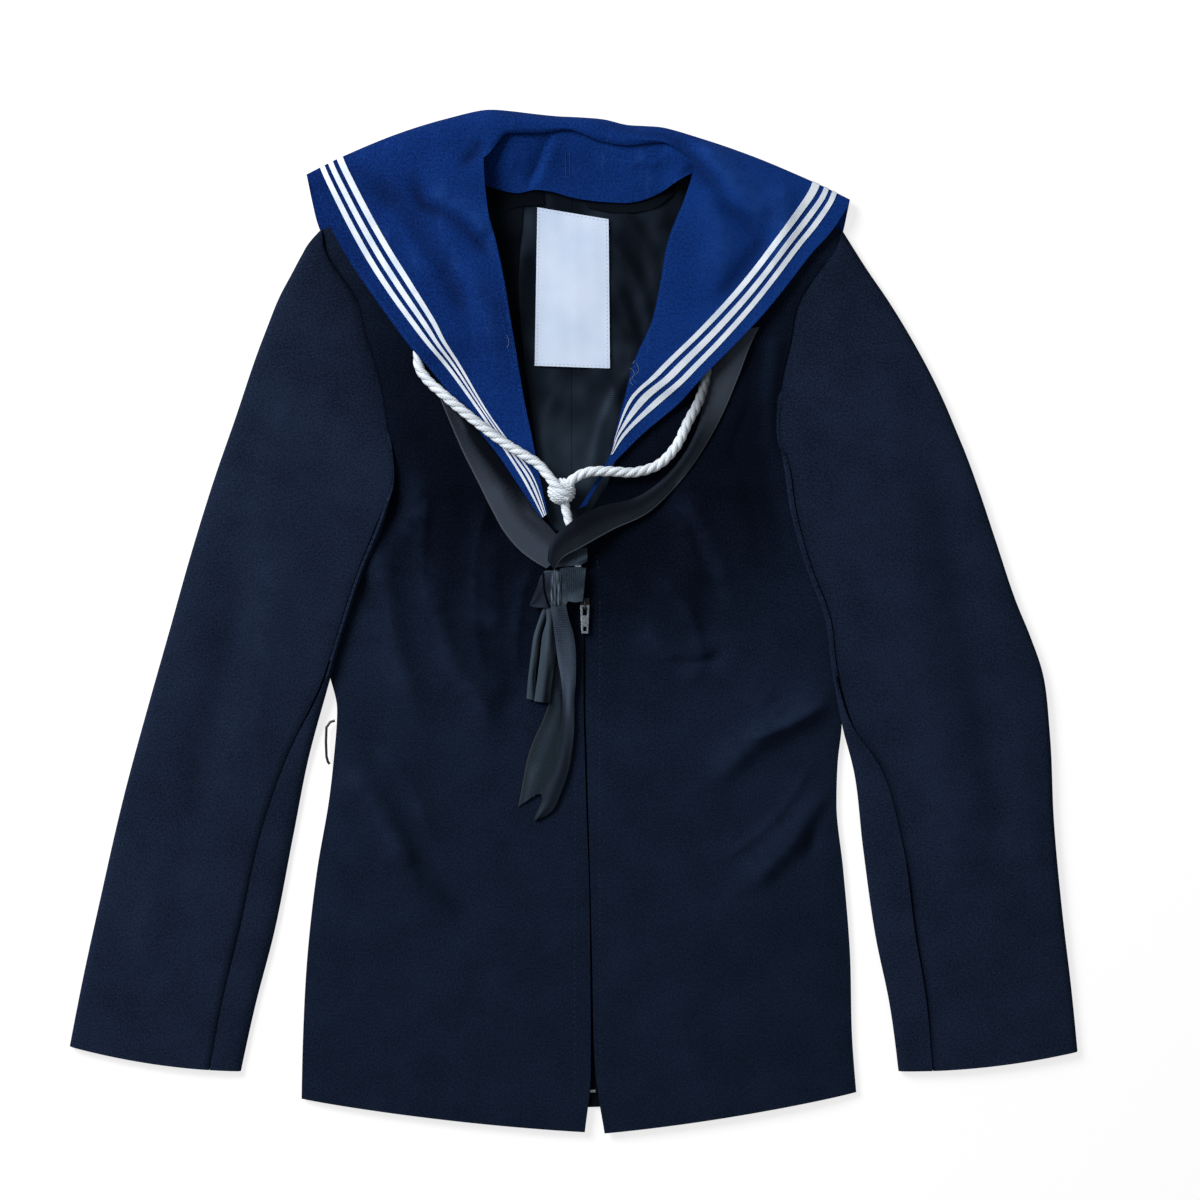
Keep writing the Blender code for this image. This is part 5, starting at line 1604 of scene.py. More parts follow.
    def control(self) -> Array:
        """Sets out the collar.

        Returns:
            Rows of points, from the flap's edge over the shoulder fold to the points of the wings.
        """
        edges = (0.0, self.tape_inset, self.tape_inset + self.tape_band)
        side = 3 + len(self.wing_shares)
        total = 2 * side + len(self.middle)
        folds = [self.wing_line(rows[0]) for rows in (WING_RIGHT, WING_LEFT)]
        rows = []
        for up in self.flap_rows:
            y = self.flap_edge + up
            half = float(np.interp(y, *zip(*self.flap_sides)))
            lines = []
            for fold, sign in zip(folds, (-1.0, 1.0)):
                reaches = [half - inset for inset in edges]
                reaches += [reaches[-1] + (abs(fold[-1][0]) - reaches[-1]) * share for share in self.wing_shares]
                shift = self.flap_shift[0] * float(smoothstep((y - self.flap_shift[1]) / self.flap_shift[2]))
                lines.append([(sign * reach + shift, y, COLLAR_UNDER) for reach in reaches])
            ends = lines[0][-1][0], lines[1][-1][0]
            middle = [(ends[0] + (ends[1] - ends[0]) * share, y, COLLAR_UNDER) for share in self.middle]
            rows.append(np.array(lines[0] + middle + lines[1][::-1]))
        middle = [(*along(self.silhouette, share), self.fold_top) for share in self.middle]
        fold_row = np.concatenate([folds[0], middle, folds[1][::-1]])
        tucked = fold_row * (self.tuck[0], 1.0, 0.0) + (0.0, self.tuck[1], COLLAR_UNDER)
        rows += [tucked, fold_row]
        for index, (line, height) in enumerate(zip((self.roll_top, self.roll_edge), self.roll_heights), start=1):
            middle = [(*along(line, share), height) for share in self.middle]
            wings = [self.wing_line(wing[index]) for wing in (WING_RIGHT, WING_LEFT)]
            rows.append(np.concatenate([wings[0], middle, wings[1][::-1]]))
        for right, left in zip_longest(WING_RIGHT[3:], WING_LEFT[3:]):
            line = np.full((total, 3), np.nan)
            if right:
                line[:side] = self.wing_line(right)
            if left:
                line[-side:] = self.wing_line(left)[::-1]
            rows.append(line)
        return np.array(rows)

    def surface(self, rows: Array, columns: Array) -> tuple[Array, Array]:
        """Reads the collar's outer face, with the creases of its visible side.

        Args:
            rows: places along its rows.
            columns: places along its columns.

        Returns:
            A grid of points, and the height that the creases add at each.
        """
        start, end = self.sheet.row_knots[len(self.flap_rows) + 1 :][:2]
        points = self.sheet.at(rows, columns)
        upper = smoothstep((rows - start) / (end - start))[:, None]
        folds = self.depth * relief(self.creases, points[..., 0], points[..., 1]) * upper
        points[..., 2] = np.maximum(points[..., 2] + folds, COLLAR_UNDER)
        return points, folds

    def edge_lines(self, grid: Array) -> list[Array]:
        """Finds where the edges of the wings are stitched.

        Args:
            grid: the collar's dense points.

        Returns:
            Lines a little inside the outer and the inner edges of both wings.
        """
        side, lines = len(self.wing_shares) + 2, []
        start = int(np.searchsorted(self.rows, self.sheet.row_knots[len(self.flap_rows) + 4]))
        for knot, step in ((0, 1), (side, -1), (-1 - side, 1), (-1, -1)):
            column = int(np.argmin(np.abs(self.columns - self.sheet.column_knots[knot])))
            edge, inward = grid[start:, column], grid[start:, column + step] - grid[start:, column]
            line = edge + unit(inward) * self.edge_stitch
            lines.append(line[line[:, 1] > self.stitch_end])
        return lines

    def tape_grid(self, number: int) -> Array:
        """Lays one tape from one point of the collar round the flap's edge to the other point.

        Args:
            number: which tape, from the outer one.

        Returns:
            The tape's points, just above the collar's face.
        """
        start = (number * self.tape_pitch + self.tape_turn) / self.tape_band
        stop = start + (self.tape_width - 2.0 * self.tape_turn) / self.tape_band
        rows, columns, dense, across = self.sheet.row_knots, self.sheet.column_knots, self.rows, self.columns
        down, up = (
            dense[(dense >= rows[2]) & (dense <= rows[len(self.flap_rows) + 1 + end])] for end in self.tape_stops
        )
        middle = across[(across >= columns[2]) & (across <= columns[-3])]
        corner, lines = np.linspace(0.0, 1.0, 7), []
        for share in np.linspace(start, stop, 4):
            row = rows[1] + (rows[2] - rows[1]) * share
            right = columns[1] + (columns[2] - columns[1]) * share
            left = columns[-2] + (columns[-3] - columns[-2]) * share
            corner_rows = rows[2] + (row - rows[2]) * corner[1:]
            places = (
                (down[::-1], right), (corner_rows, right), (row, right + (columns[2] - right) * corner[1:-1]),
                (row, middle), (row, columns[-3] + (left - columns[-3]) * corner[1:]),
                (corner_rows[::-1][1:], left), (up, left),
            )
            runs = [self.surface(np.atleast_1d(a), np.atleast_1d(b))[0].reshape(-1, 3) for a, b in places]
            lines.append(np.concatenate(runs))
        grid = np.array(lines).transpose(1, 0, 2)
        ahead, aside = np.gradient(grid, axis=0), np.gradient(grid, axis=1)
        normal = np.cross(ahead, aside)
        normal /= np.maximum(np.linalg.norm(normal, axis=2, keepdims=True), TINY)
        return grid - normal * self.tape_lift

    def build(self) -> None:
        """Makes the collar and its tapes."""
        finishes = self.finishes
        grid, folds = self.surface(self.rows, self.columns)
        # painted highlight on the creases' ridges and painted shade in their folds
        wear_and_fold_shading = np.clip(folds / self.fold_shading_depth, -1.0, 1.0)
        piece = Cloth("sailor_collar", grid, COTTON, face_down=True, wear_and_fold_shading=wear_and_fold_shading).build(finishes.drill)
        dress(piece, "collar_cotton", "collar")
        tapes = []
        for number in range(self.tape_count):
            tape = Cloth(f"woven_tape_{number + 1}", self.tape_grid(number), self.tape_wall, weave=Weave.RUN)
            tapes.append(tape.build(finishes.tape))
            dress(tapes[-1], "collar_tape", f"collar_tape_{number + 1}")
        self.cut.declare(piece, ON_FRONTS, tapes)
        top = Ground([piece])
        lines = self.edge_lines(grid)
        lines += [top.lay(line, 0.0) for line in outline(self.stitched_box)]
        Stitching().sew("collar_stitches", lines, finishes.blue_thread, "collar_cotton")
        bits = [top.lay(line, 0.3) for line in self.loose_threads]
        Stitching(1.2, 0.0, 0.3).sew("loose_threads", bits, finishes.loose, "collar_cotton")


@dataclass
class NeckBand:
    """The band inside the collar, behind the neck."""

    finishes: Palette
    top: Line = ((-72, 353), (-62, 369), (-28, 373), (5, 371), (36, 364), (60, 365), (78, 362), (93, 349))
    low: Line = (
        (-72, 333), (-59, 328), (-42, 325), (-37, 328), (-24, 328), (-3, 322), (15, 319), (37, 318), (55, 321),
        (67, 328), (76, 334), (84, 337), (90, 341),
    )
    heights: tuple[float, ...] = (22.4, 18.5, 13.5, 9.5)
    columns: int = 13
    end_drop: float = 7.0
    end_run: float = 0.09
    # at the wearer's left end the band climbs over the lanyard: by how much, from where and over how far
    climb: Triple = (8.0, 58.0, 26.0)
    step: float = 2.0
    stitched_box: Line = ((19, 350.5), (48.6, 347.5), (48.6, 331), (19, 333.5))
    buttonhole: Line = ((-8.4, 356), (-5.3, 356), (-5.3, 337), (-8.4, 337))
    cut: Cut = Cut(0.046, 0.150)
    creases: tuple[Crease, ...] = table(Crease,
        (((-20, 368), (-27, 350), (-36, 331)), -3.4, 3, 9, True), (((-17, 366), (-22, 350), (-30, 330)), 1.6, 8, 4),
        (((48, 352), (55, 346), (63, 348)), 1.2, 3, 3, True), (((46, 346), (54, 341)), -1.2, 3, 3, True),
        (((-60, 352), (-45, 345)), 1.4, 8, 8), (((66, 358), (76, 350), (84, 341)), 1.8, 4, 6),
    )

    def control(self) -> Array:
        """Sets out the band.

        Returns:
            Its own points, from its lower edge to its upper edge.
        """
        grid = []
        for level, height in enumerate(self.heights[::-1]):
            share_up = level / (len(self.heights) - 1)
            line = []
            for share in np.linspace(0.0, 1.0, self.columns):
                low, high = along(self.low, share), along(self.top, share)
                x, y = low + (high - low) * share_up
                drop = self.end_drop * math.exp(-share / self.end_run) * share_up
                lift = self.climb[0] * float(smoothstep((x - self.climb[1]) / self.climb[2])) * (1.0 - share_up)
                line.append((x, y, height - drop + lift))
            grid.append(line)
        return np.array(grid)

    def build(self) -> None:
        """Makes the band."""
        grid, finishes = SmoothSheet(self.control()).dense(self.step), self.finishes
        grid[..., 2] += relief(self.creases, grid[..., 0], grid[..., 1])
        cloth = Cloth("collar_band", grid, COTTON)
        piece = self.cut.lay(cloth, finishes.drill, "collar_cotton", ["sailor_collar"], "neck_band")
        top = Ground([piece])
        box = [top.lay(line, 0.0) for line in outline(self.stitched_box)]
        Stitching().sew("band_stitches", box, finishes.blue_thread, "collar_cotton")
        slit = [top.lay(line, 0.1) for line in outline(self.buttonhole)]
        Stitching(1.3, 0.1, 0.9).sew("buttonhole", slit, finishes.blue_thread, "collar_cotton")


@dataclass
class NeckOpening:
    """The lining, the facings along the front edges, the felt stays and the bare label; the dark facings and felt stays
    are partly real and partly dark sheets for the shade in the opening.
    """

    finishes: Palette
    centre: float = -4.0
    rows: tuple[tuple[float, float, float, int], ...] = (
        (70, -42, 16, 0), (86, -45, 26, 0), (106, -48, 36, 1), (150, -56, 54, 1), (210, -66, 72, 1),
        (270, -80, 84, 1), (322, -88, 96, 1), (337, -82, 90, 1),
    )
    label_corners: Line = ((-32, 195), (25, 193), (24, 306), (-30, 315))
    label_points: tuple[int, int] = (48, 24)
    # each ripple's height, and how it turns across the label and up it
    label_ripples: tuple[Triple, Triple] = ((0.06, 24.0, 2.0), (0.22, 7.0, -5.0))
    # dark strips: partly the real facings and felt stays, partly painted shade along the sides and the top of the
    # opening
    facing: tuple[StripRow, ...] = table(StripRow,
        (-37, 96, -24, 96, 4.4), (-46, 130, -30, 130, 6.9), (-55, 165, -35, 165, 7.2), (-62, 212, -41, 212, 7.2),
        (-70, 262, -44.5, 262, 7.2), (-80, 315, -41, 315, 7), (-80, 333, -40, 333, 6.8),
    )
    felt_right: tuple[StripRow, ...] = table(StripRow,
        (-66, 332, -60, 310, 7.6), (-44, 332, -42, 316, 7.8), (-26, 332, -25, 317, 7.4),
    )
    felt_left: tuple[StripRow, ...] = table(StripRow,
        (6, 330, 8, 315, 7.2), (34, 326, 34, 311, 7.8), (58, 328, 55, 313, 7.8), (78, 336, 72, 324, 7.6),
    )
    inner: tuple[StripRow, ...] = table(StripRow,
        (36, 130, 50, 130, 6.8), (50, 180, 66, 180, 6.9), (62, 230, 78, 230, 6.9), (74, 290, 90, 290, 6.9),
        (80, 330, 90, 330, 6.8),
    )
    lining_cut: Cut = Cut(0.095, 0.252, 0.0165)
    label_cut: Cut = Cut(0.058, 0.122)
    label_stitch: float = 0.7
    depth: float = 1.5
    step: float = 2.5
    wall: float = 0.6
    facing_cut: Cut = Cut(0.024, 0.237)
    inner_cut: Cut = Cut(0.018, 0.205)
    felt_cuts: tuple[Cut, Cut] = (Cut(0.022, 0.040), Cut(0.017, 0.068))
    creases: tuple[Crease, ...] = table(Crease,
        (((10, 200), (30, 170), (22, 130)), 1.5, 6, 6), (((40, 190), (20, 150), (12, 110)), 1.3, 5, 5),
        (((-10, 180), (-22, 150), (-18, 110)), 1, 6, 6), (((30, 318), (52, 290), (64, 250)), 1.3, 3, 6),
        (((28, 290), (46, 262), (58, 214)), 1.3, 3, 6), (((28, 262), (38, 238), (48, 196)), 1, 3, 5),
        (((30, 226), (42, 204), (44, 180)), 0.9, 3, 5), (((50, 318), (66, 300)), 1, 5, 5),
        (((-40, 190), (-42, 240), (-38, 290)), 1, 5, 5),
    )

    def lining_grid(self, right_side: bool) -> Array:
        """Drapes one half of the lining.

        Args:
            right_side: whether it is the half on the wearer's right.

        Returns:
            Its dense grid of points.
        """
        control = []
        for y, right, left, lifted in self.rows:
            ends = (right, self.centre - SEAM / 2) if right_side else (self.centre + SEAM / 2, left)
            height = WOOL + SEAM + COTTON + STEP * lifted
            control.append([(x, y, height) for x in np.linspace(*ends, 4)])
        grid = SmoothSheet(np.array(control)).dense(self.step)
        seam = 1.0 - np.exp(-np.abs(grid[..., 0] - self.centre) / 3.0)
        folds = self.depth * relief(self.creases, grid[..., 0], grid[..., 1]) * seam
        grid[..., 2] += np.maximum(folds, -0.2)
        return grid

    def strip_grid(self, rows: Sequence[StripRow]) -> Array:
        """A plain strip through its sections."""
        control = [[(row.left_x, row.left_y, row.height), (row.right_x, row.right_y, row.height)] for row in rows]
        return face_up(SmoothSheet(np.array(control, float)).dense(self.step))

    def label_grid(self) -> Array:
        """Draws the label, which ripples a little.

        Returns:
            Its grid of points, with its foot in the first row.
        """
        low_a, low_b, top_b, top_a = np.array(self.label_corners, float)
        up, share = (np.linspace(0.0, 1.0, count) for count in self.label_points)
        up, share = up[:, None, None], share[:, None]
        right, left = low_a + (top_a - low_a) * up, low_b + (top_b - low_b) * up
        ripple = sum(rise * np.sin(share * across + run * up) for rise, across, run in self.label_ripples)
        height = WOOL + SEAM + COTTON + STEP + SEAM + COTTON + self.wall + ripple
        return np.concatenate([right + (left - right) * share, height], -1)

    def build(self) -> None:
        """Makes the lining, the dark facings and felt strips, which also stand for the opening's shade, and the label.
        """
        finishes = self.finishes
        for name, right_side in (("right", True), ("left", False)):
            half = Cloth("neck_lining_" + name, self.lining_grid(right_side), COTTON)
            self.lining_cut.lay(half, finishes.lining, "lining_satin", ["back_panel"], "lining_" + name)
        for name, rows, cut in (
            ("front_facing_and_shade", self.facing, self.facing_cut),
            ("inner_facing_and_shade", self.inner, self.inner_cut),
            ("felt_stay_and_shade_right", self.felt_right, self.felt_cuts[0]),
            ("felt_stay_and_shade_left", self.felt_left, self.felt_cuts[1]),
        ):
            cut.lay(Cloth(name, self.strip_grid(rows), self.wall), finishes.facing, "lining_satin", ON_LINING)
        grid = self.label_grid()
        self.label_cut.lay(Cloth("neck_label", grid, self.wall), finishes.label, "label_cloth", ON_LINING, "label")
        sides = ((grid[:, 0], grid[:, 1]), (grid[:, -1], grid[:, -2]), (grid[0], grid[1]), (grid[-1], grid[-2]))
        lines = [edge + (near - edge) * self.label_stitch for edge, near in sides]
        Stitching(1.8, 1.2, 0.5).sew("label_stitches", lines, finishes.thread, "label_cloth")


# ZIP
def paint(name: str, material: Material) -> None:
    """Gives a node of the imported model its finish."""
    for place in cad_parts[name].material_slots:
        place.material = material


@dataclass
class Zip:
    """The zip under the front edges: its tape, its coil and its stops, and finishes for its slider and pull."""

    finishes: Palette
    width: float = 26.0
    wall: float = 1.2
    centre: float = 7.5
    ends: Pair = (-367.0, 42.0)
    pitch: float = 2.5
    tooth: Triple = (4.2, 1.5, 1.3)
    coil_ends: Pair = (-352.0, 8.0)
    stop: Triple = (5.0, 2.0, 1.6)
    step: float = 4.0
    stop_places: tuple[Triple, Triple] = ((1.0, 43.0, 13.4), (12.0, -355.0, 4.6))
    cut: Cut = Cut(0.026, 0.409)

    def build(self) -> None:
        """Makes the tape and the coil, and gives the metal parts their finish."""
        low, finishes = WOOL + SEAM + self.wall, self.finishes
        sides = [self.centre + self.width * share for share in (-0.5, 0.0, 0.5)]
        lines = [[(x, y, low) for x in sides] for y in (self.ends[0], 0.0, self.ends[1])]
        tape = Cloth("zip_backing", SmoothSheet(np.array(lines)).dense(self.step), self.wall)
        self.cut.lay(tape, finishes.facing, "zip_tape", ["back_panel"], "zip_tape")
        coil = self.coil(low)
        coil.data.materials.append(finishes.facing)
        dress(coil, "zip_black")
        stops = self.stops()
        stops.data.materials.append(finishes.pull)
        dress(stops, "zip_metal")
        paint("zip_slider", finishes.black)
        paint("zip_pull", finishes.pull)

    @staticmethod
    def block(size: Triple, soft: float) -> Block:
        """Shapes a block with soft edges.

        Args:
            size: its length along each axis.
            soft: the width of its bevels.

        Returns:
            Its points and its faces.
        """
        deselect_all()
        bpy.ops.mesh.primitive_cube_add(size=1.0)
        block = bpy.context.active_object
        block.scale = size
        bpy.ops.object.transform_apply(location=False, rotation=False, scale=True)
        bpy.ops.object.mode_set(mode="EDIT")
        bpy.ops.mesh.select_all(action="SELECT")
        bpy.ops.mesh.bevel(offset=soft, segments=1)
        bpy.ops.object.mode_set(mode="OBJECT")
        return taken(block)

    def stops(self) -> Object:
        """The crimped metal stops at the zip's two ends, as one piece."""
        points, faces = self.block(self.stop, 0.5)
        return mesh_object("zip_stops", *joined([(points + at, faces, points[:, :2] * MM) for at in self.stop_places]))

    def coil(self, low: float) -> Object:
        """Shapes one tooth and copies it down both sides of the centre.

        Args:
            low: the height of the tape's face.

        Returns:
            All the teeth as one piece.
        """
        points, faces = self.block(self.tooth, 0.3)
        shapes = []
        for number, y in enumerate(np.arange(*self.coil_ends, self.pitch / 2)):
            side = 1.2 if number % 2 else -1.2
            place = points + (self.centre + side, y, low + 0.5 * self.tooth[2])
            shapes.append((place, faces, place[:, :2] * MM))
        return mesh_object("zip_coil", *joined(shapes))


# RIBBON AND BOW
@dataclass
class Strip:
    """A flat ribbon through sections that run along it."""

    name: str
    node: str
    rows: tuple[StripRow, ...]
    cut: Cut
    wall: float = 0.7
    camber: float = 0.6
    lay: float = 0.5
    ripple: float = 0.0
    finish: str = "ribbon"
    notch: float = 0.0
    notch_share: float = 0.5
    notch_rows: int = 8
    step: float = 1.6

    def grid(self, ground: Optional[Ground]) -> Array:
        """Draws the ribbon's top face, kept above what it lies on.

        Args:
            ground: what it lies on, if it has to be kept above that.

        Returns:
            Its dense grid of points, face up.
        """
        control = []
        for row in self.rows:
            a, b = np.array(row[:2], float), np.array(row[2:4], float)
            shares = np.linspace(0.0, 1.0, 5)
            heights = row.height + self.camber * 4.0 * shares * (1.0 - shares)
            control.append(np.column_stack([a + (b - a) * shares[:, None], heights]))
        grid = SmoothSheet(np.array(control)).dense(self.step)
        if self.ripple:
            across = np.linspace(0.0, 1.0, grid.shape[1])[None, :]
            run = np.linspace(0.0, 1.0, grid.shape[0])[:, None]
            grid[..., 2] += self.ripple * np.sin(across * 9.0 + run * 4.0) * smoothstep(run * 4.0)
        if self.notch:
            # the end is cut to a swallow tail
            shares = np.linspace(0.0, 1.0, grid.shape[1])
            middle = 1.0 - self.notch_share
            deep = np.where(shares < middle, shares / middle, (1.0 - shares) / self.notch_share)
            fade = np.linspace(0.0, 1.0, self.notch_rows)[:, None] ** 2
            back = unit(grid[-1 - self.notch_rows, :, :2] - grid[-1, :, :2])
            grid[-self.notch_rows :, :, :2] += (fade * deep)[..., None] * back * self.notch
        if ground is not None:
            grid[..., 2] = np.maximum(grid[..., 2], ground.heights(grid) + self.lay + self.wall)
        return face_up(grid)


@dataclass
class Bow:
    """The two ends of the ribbon, which cross, and the flat bow with its loop and tails."""

    finishes: Palette
    ground: Ground
    strips: tuple[Strip, ...] = (
        Strip("ribbon_right_strip", "ribbon_right", table(StripRow,
            (-106, 176, -88, 182, 11.2), (-96, 152, -76, 158, 11.3), (-86, 129, -62, 134, 11.3),
            (-75, 107, -47, 112, 11.2), (-65, 87, -36, 94, 11), (-55, 69, -27, 80, 10.6), (-42, 54, -18, 70, 10.8),
            (-31, 46, -12, 62, 11.6), (-23, 41.5, -10, 52, 12.4),
        ), Cut(0.024, 0.165), camber=1.5, finish="ribbon"),
        Strip("ribbon_left_strip", "ribbon_left", table(StripRow,
            (-17, 40, -22, 47, 20.2), (-12, 48, -20, 60, 20.6), (4, 57.5, -5, 76, 20), (28, 71, 17, 88, 13.6),
            (53, 83, 44, 95, 10.8), (77, 106, 67, 111, 11), (97, 134, 86, 137, 11.2), (105, 148, 91, 148, 11.2),
            (112, 162, 95, 164, 11), (122, 186, 99, 184, 10.8), (132, 212, 107, 207, 10.8), (138, 224, 116, 220, 11),
        ), Cut(0.018, 0.235), camber=1.4, finish="ribbon_left"),
        Strip("bow_back_loop_strip", "", table(StripRow,
            (-18, 42, -18, 50, 14.2), (-6, 43, -7, 54, 13.6), (4, 44.5, 3, 57, 13), (8, 47, 8, 57, 12.2),
        ), Cut(0.011, 0.027), camber=1.2, finish="bow"),
        Strip("bow_loop_under_strip", "", table(StripRow,
            (-24, 15.4, -18, 15.4, 12), (-29, 2, -24, 1, 10.4), (-32.6, -9, -27, -9, 9.8),
            (-35, -26, -29.4, -26, 9.4), (-37, -43, -31.4, -43, 9.4), (-38.2, -57, -30, -59, 9.4),
        ), Cut(0.010, 0.076, 0.00045), camber=0.8, finish="loop"),
        Strip("bow_loop_strip", "bow_loop", table(StripRow,
            (-24, 15.4, -15, 15.4, 14), (-23, 3, -16.4, 3, 12.4), (-26, -9, -15.4, -9, 11.6),
            (-28, -26, -16.2, -26, 11), (-30, -43, -18.4, -43, 10.8), (-32.4, -59, -20.6, -60.5, 10.4),
        ), Cut(0.012, 0.078), camber=1.3, finish="loop"),
        Strip("bow_tail_back_strip", "bow_tail_back", table(StripRow,
            (-16, -24, -8, -24, 8.6), (-18, -44, -9, -44, 8.4), (-21, -60, -9, -61, 8.4), (-25.5, -73, -10, -76, 8.4),
            (-32, -87, -13, -92, 8.4), (-37, -101, -16, -107, 8.4), (-40.3, -117, -20, -121, 8.4),
            (-44.4, -139, -26, -134, 8.2),
        ), Cut(0.016, 0.120), ripple=0.4, finish="brown_tail", notch=7.5, notch_share=0.22),
        Strip("bow_tail_front_strip", "bow_tail_front", table(StripRow,
            (-21, 15.4, -8.5, 15.4, 16.6), (-19, 6, -6.4, 5, 15.4), (-16.8, -9, -2.4, -9, 14),
            (-14.7, -26, -0.6, -26, 12.6), (-11.9, -43, -0.8, -43, 11.6), (-10.8, -59, -2, -59, 10.9),
            (-11.6, -73, -2, -76, 10.6), (-13.7, -92, -3.4, -94, 10.4), (-17.7, -109, -6.5, -112, 10.4),
            (-22.9, -123, -12, -128, 10), (-26.6, -135, -18, -141, 9.4), (-33, -149, -28, -148, 8.8),
        ), Cut(0.012, 0.172), camber=1.2, ripple=0.35, finish="tail"),
        Strip("bow_leaf_right_strip", "bow_leaf_right", table(StripRow,
            (-36, 13.4, -35.4, 15.4, 11.6), (-31.5, 12, -30.5, 26, 12.8), (-27.5, 11.8, -27, 35.5, 14),
            (-24, 11.8, -23.6, 39.5, 15.4), (-19, 12.4, -19, 39.5, 16.6),
        ), Cut(0.020, 0.027, 0.00033), camber=1.2, finish="leaf"),
        Strip("bow_leaf_left_strip", "bow_leaf_left", table(StripRow,
            (-13, 13.2, -13, 41, 17), (-8.4, 13.8, -8.4, 42, 16.6), (-6.6, 16.4, -6.4, 42.2, 16.2),
            (-1, 15.8, 0, 42.2, 15.2), (4.6, 16.6, 7, 41.8, 13.8),
        ), Cut(0.019, 0.026), camber=1.0, finish="bow"),
    )
    knot_centre: Pair = (-15.7, 26.6)
    knot_half: Pair = (3.9, 13.8)
    knot_heights: Pair = (12.6, 19.4)
    ribs: int = 3
    rib_depth: float = 0.3
    knot_waist: float = 0.10
    knot_square: float = 0.6
    knot_points: tuple[int, int] = (41, 25)
    wall: float = 0.7
    braid: tuple[Triple, ...] = (
        (-25.8, 38.4, 15.6), (-25, 33, 16.2), (-24.6, 26, 16.6), (-22.4, 17, 17.2), (-20.8, 12, 17),
    )

    def build(self) -> None:
        """Makes every strip, the knot and the braid beside it."""
        finishes = self.finishes
        for strip in self.strips:
            ground = None if "leaf" in strip.name else self.ground
            cloth = Cloth(strip.name, strip.grid(ground), strip.wall, weave=Weave.RUN)
            nodes = (strip.node,) if strip.node else ()
            strip.cut.lay(cloth, getattr(finishes, strip.finish), "ribbon_satin", ON_FRONTS, *nodes)
        knot = Cloth("bow_winding", self.winding(), self.wall, weave=Weave.RUN).build(finishes.winding)
        dress(knot, "ribbon_satin", "bow_knot")
        lines = [np.array(self.braid, float) + (aside, 0.0, 0.0) for aside in (-0.5, 0.4)]
        Stitching(1.9, -0.3, 0.9).sew("bow_braid", lines, finishes.facing, "ribbon_satin")

    def winding(self) -> Array:
        """Winds the ribbon round the leaves, with fine ribs along the winding.

        Returns:
            The knot's grid of points.
        """
        (x, y), (half_x, half_y), (low, high) = self.knot_centre, self.knot_half, self.knot_heights
        turns = np.linspace(0.0, 2.0 * math.pi, self.knot_points[0])
        columns = np.linspace(-1.0, 1.0, self.knot_points[1])
        swell = 1.0 - self.knot_waist * columns**2
        rib = self.rib_depth * np.cos(columns * math.pi * self.ribs)
        grid = np.empty((len(turns), len(columns), 3))
        for i, turn in enumerate(turns):
            out = np.sign(math.sin(turn)) * abs(math.sin(turn)) ** self.knot_square
            tall = np.sign(math.cos(turn)) * abs(math.cos(turn)) ** self.knot_square
            grid[i, :, 0] = x + columns * half_x
            grid[i, :, 1] = y + out * (half_y * swell + rib)
            grid[i, :, 2] = 0.5 * (low + high) - tall * (0.5 * (high - low) * swell + rib)
        return grid[:, ::-1]


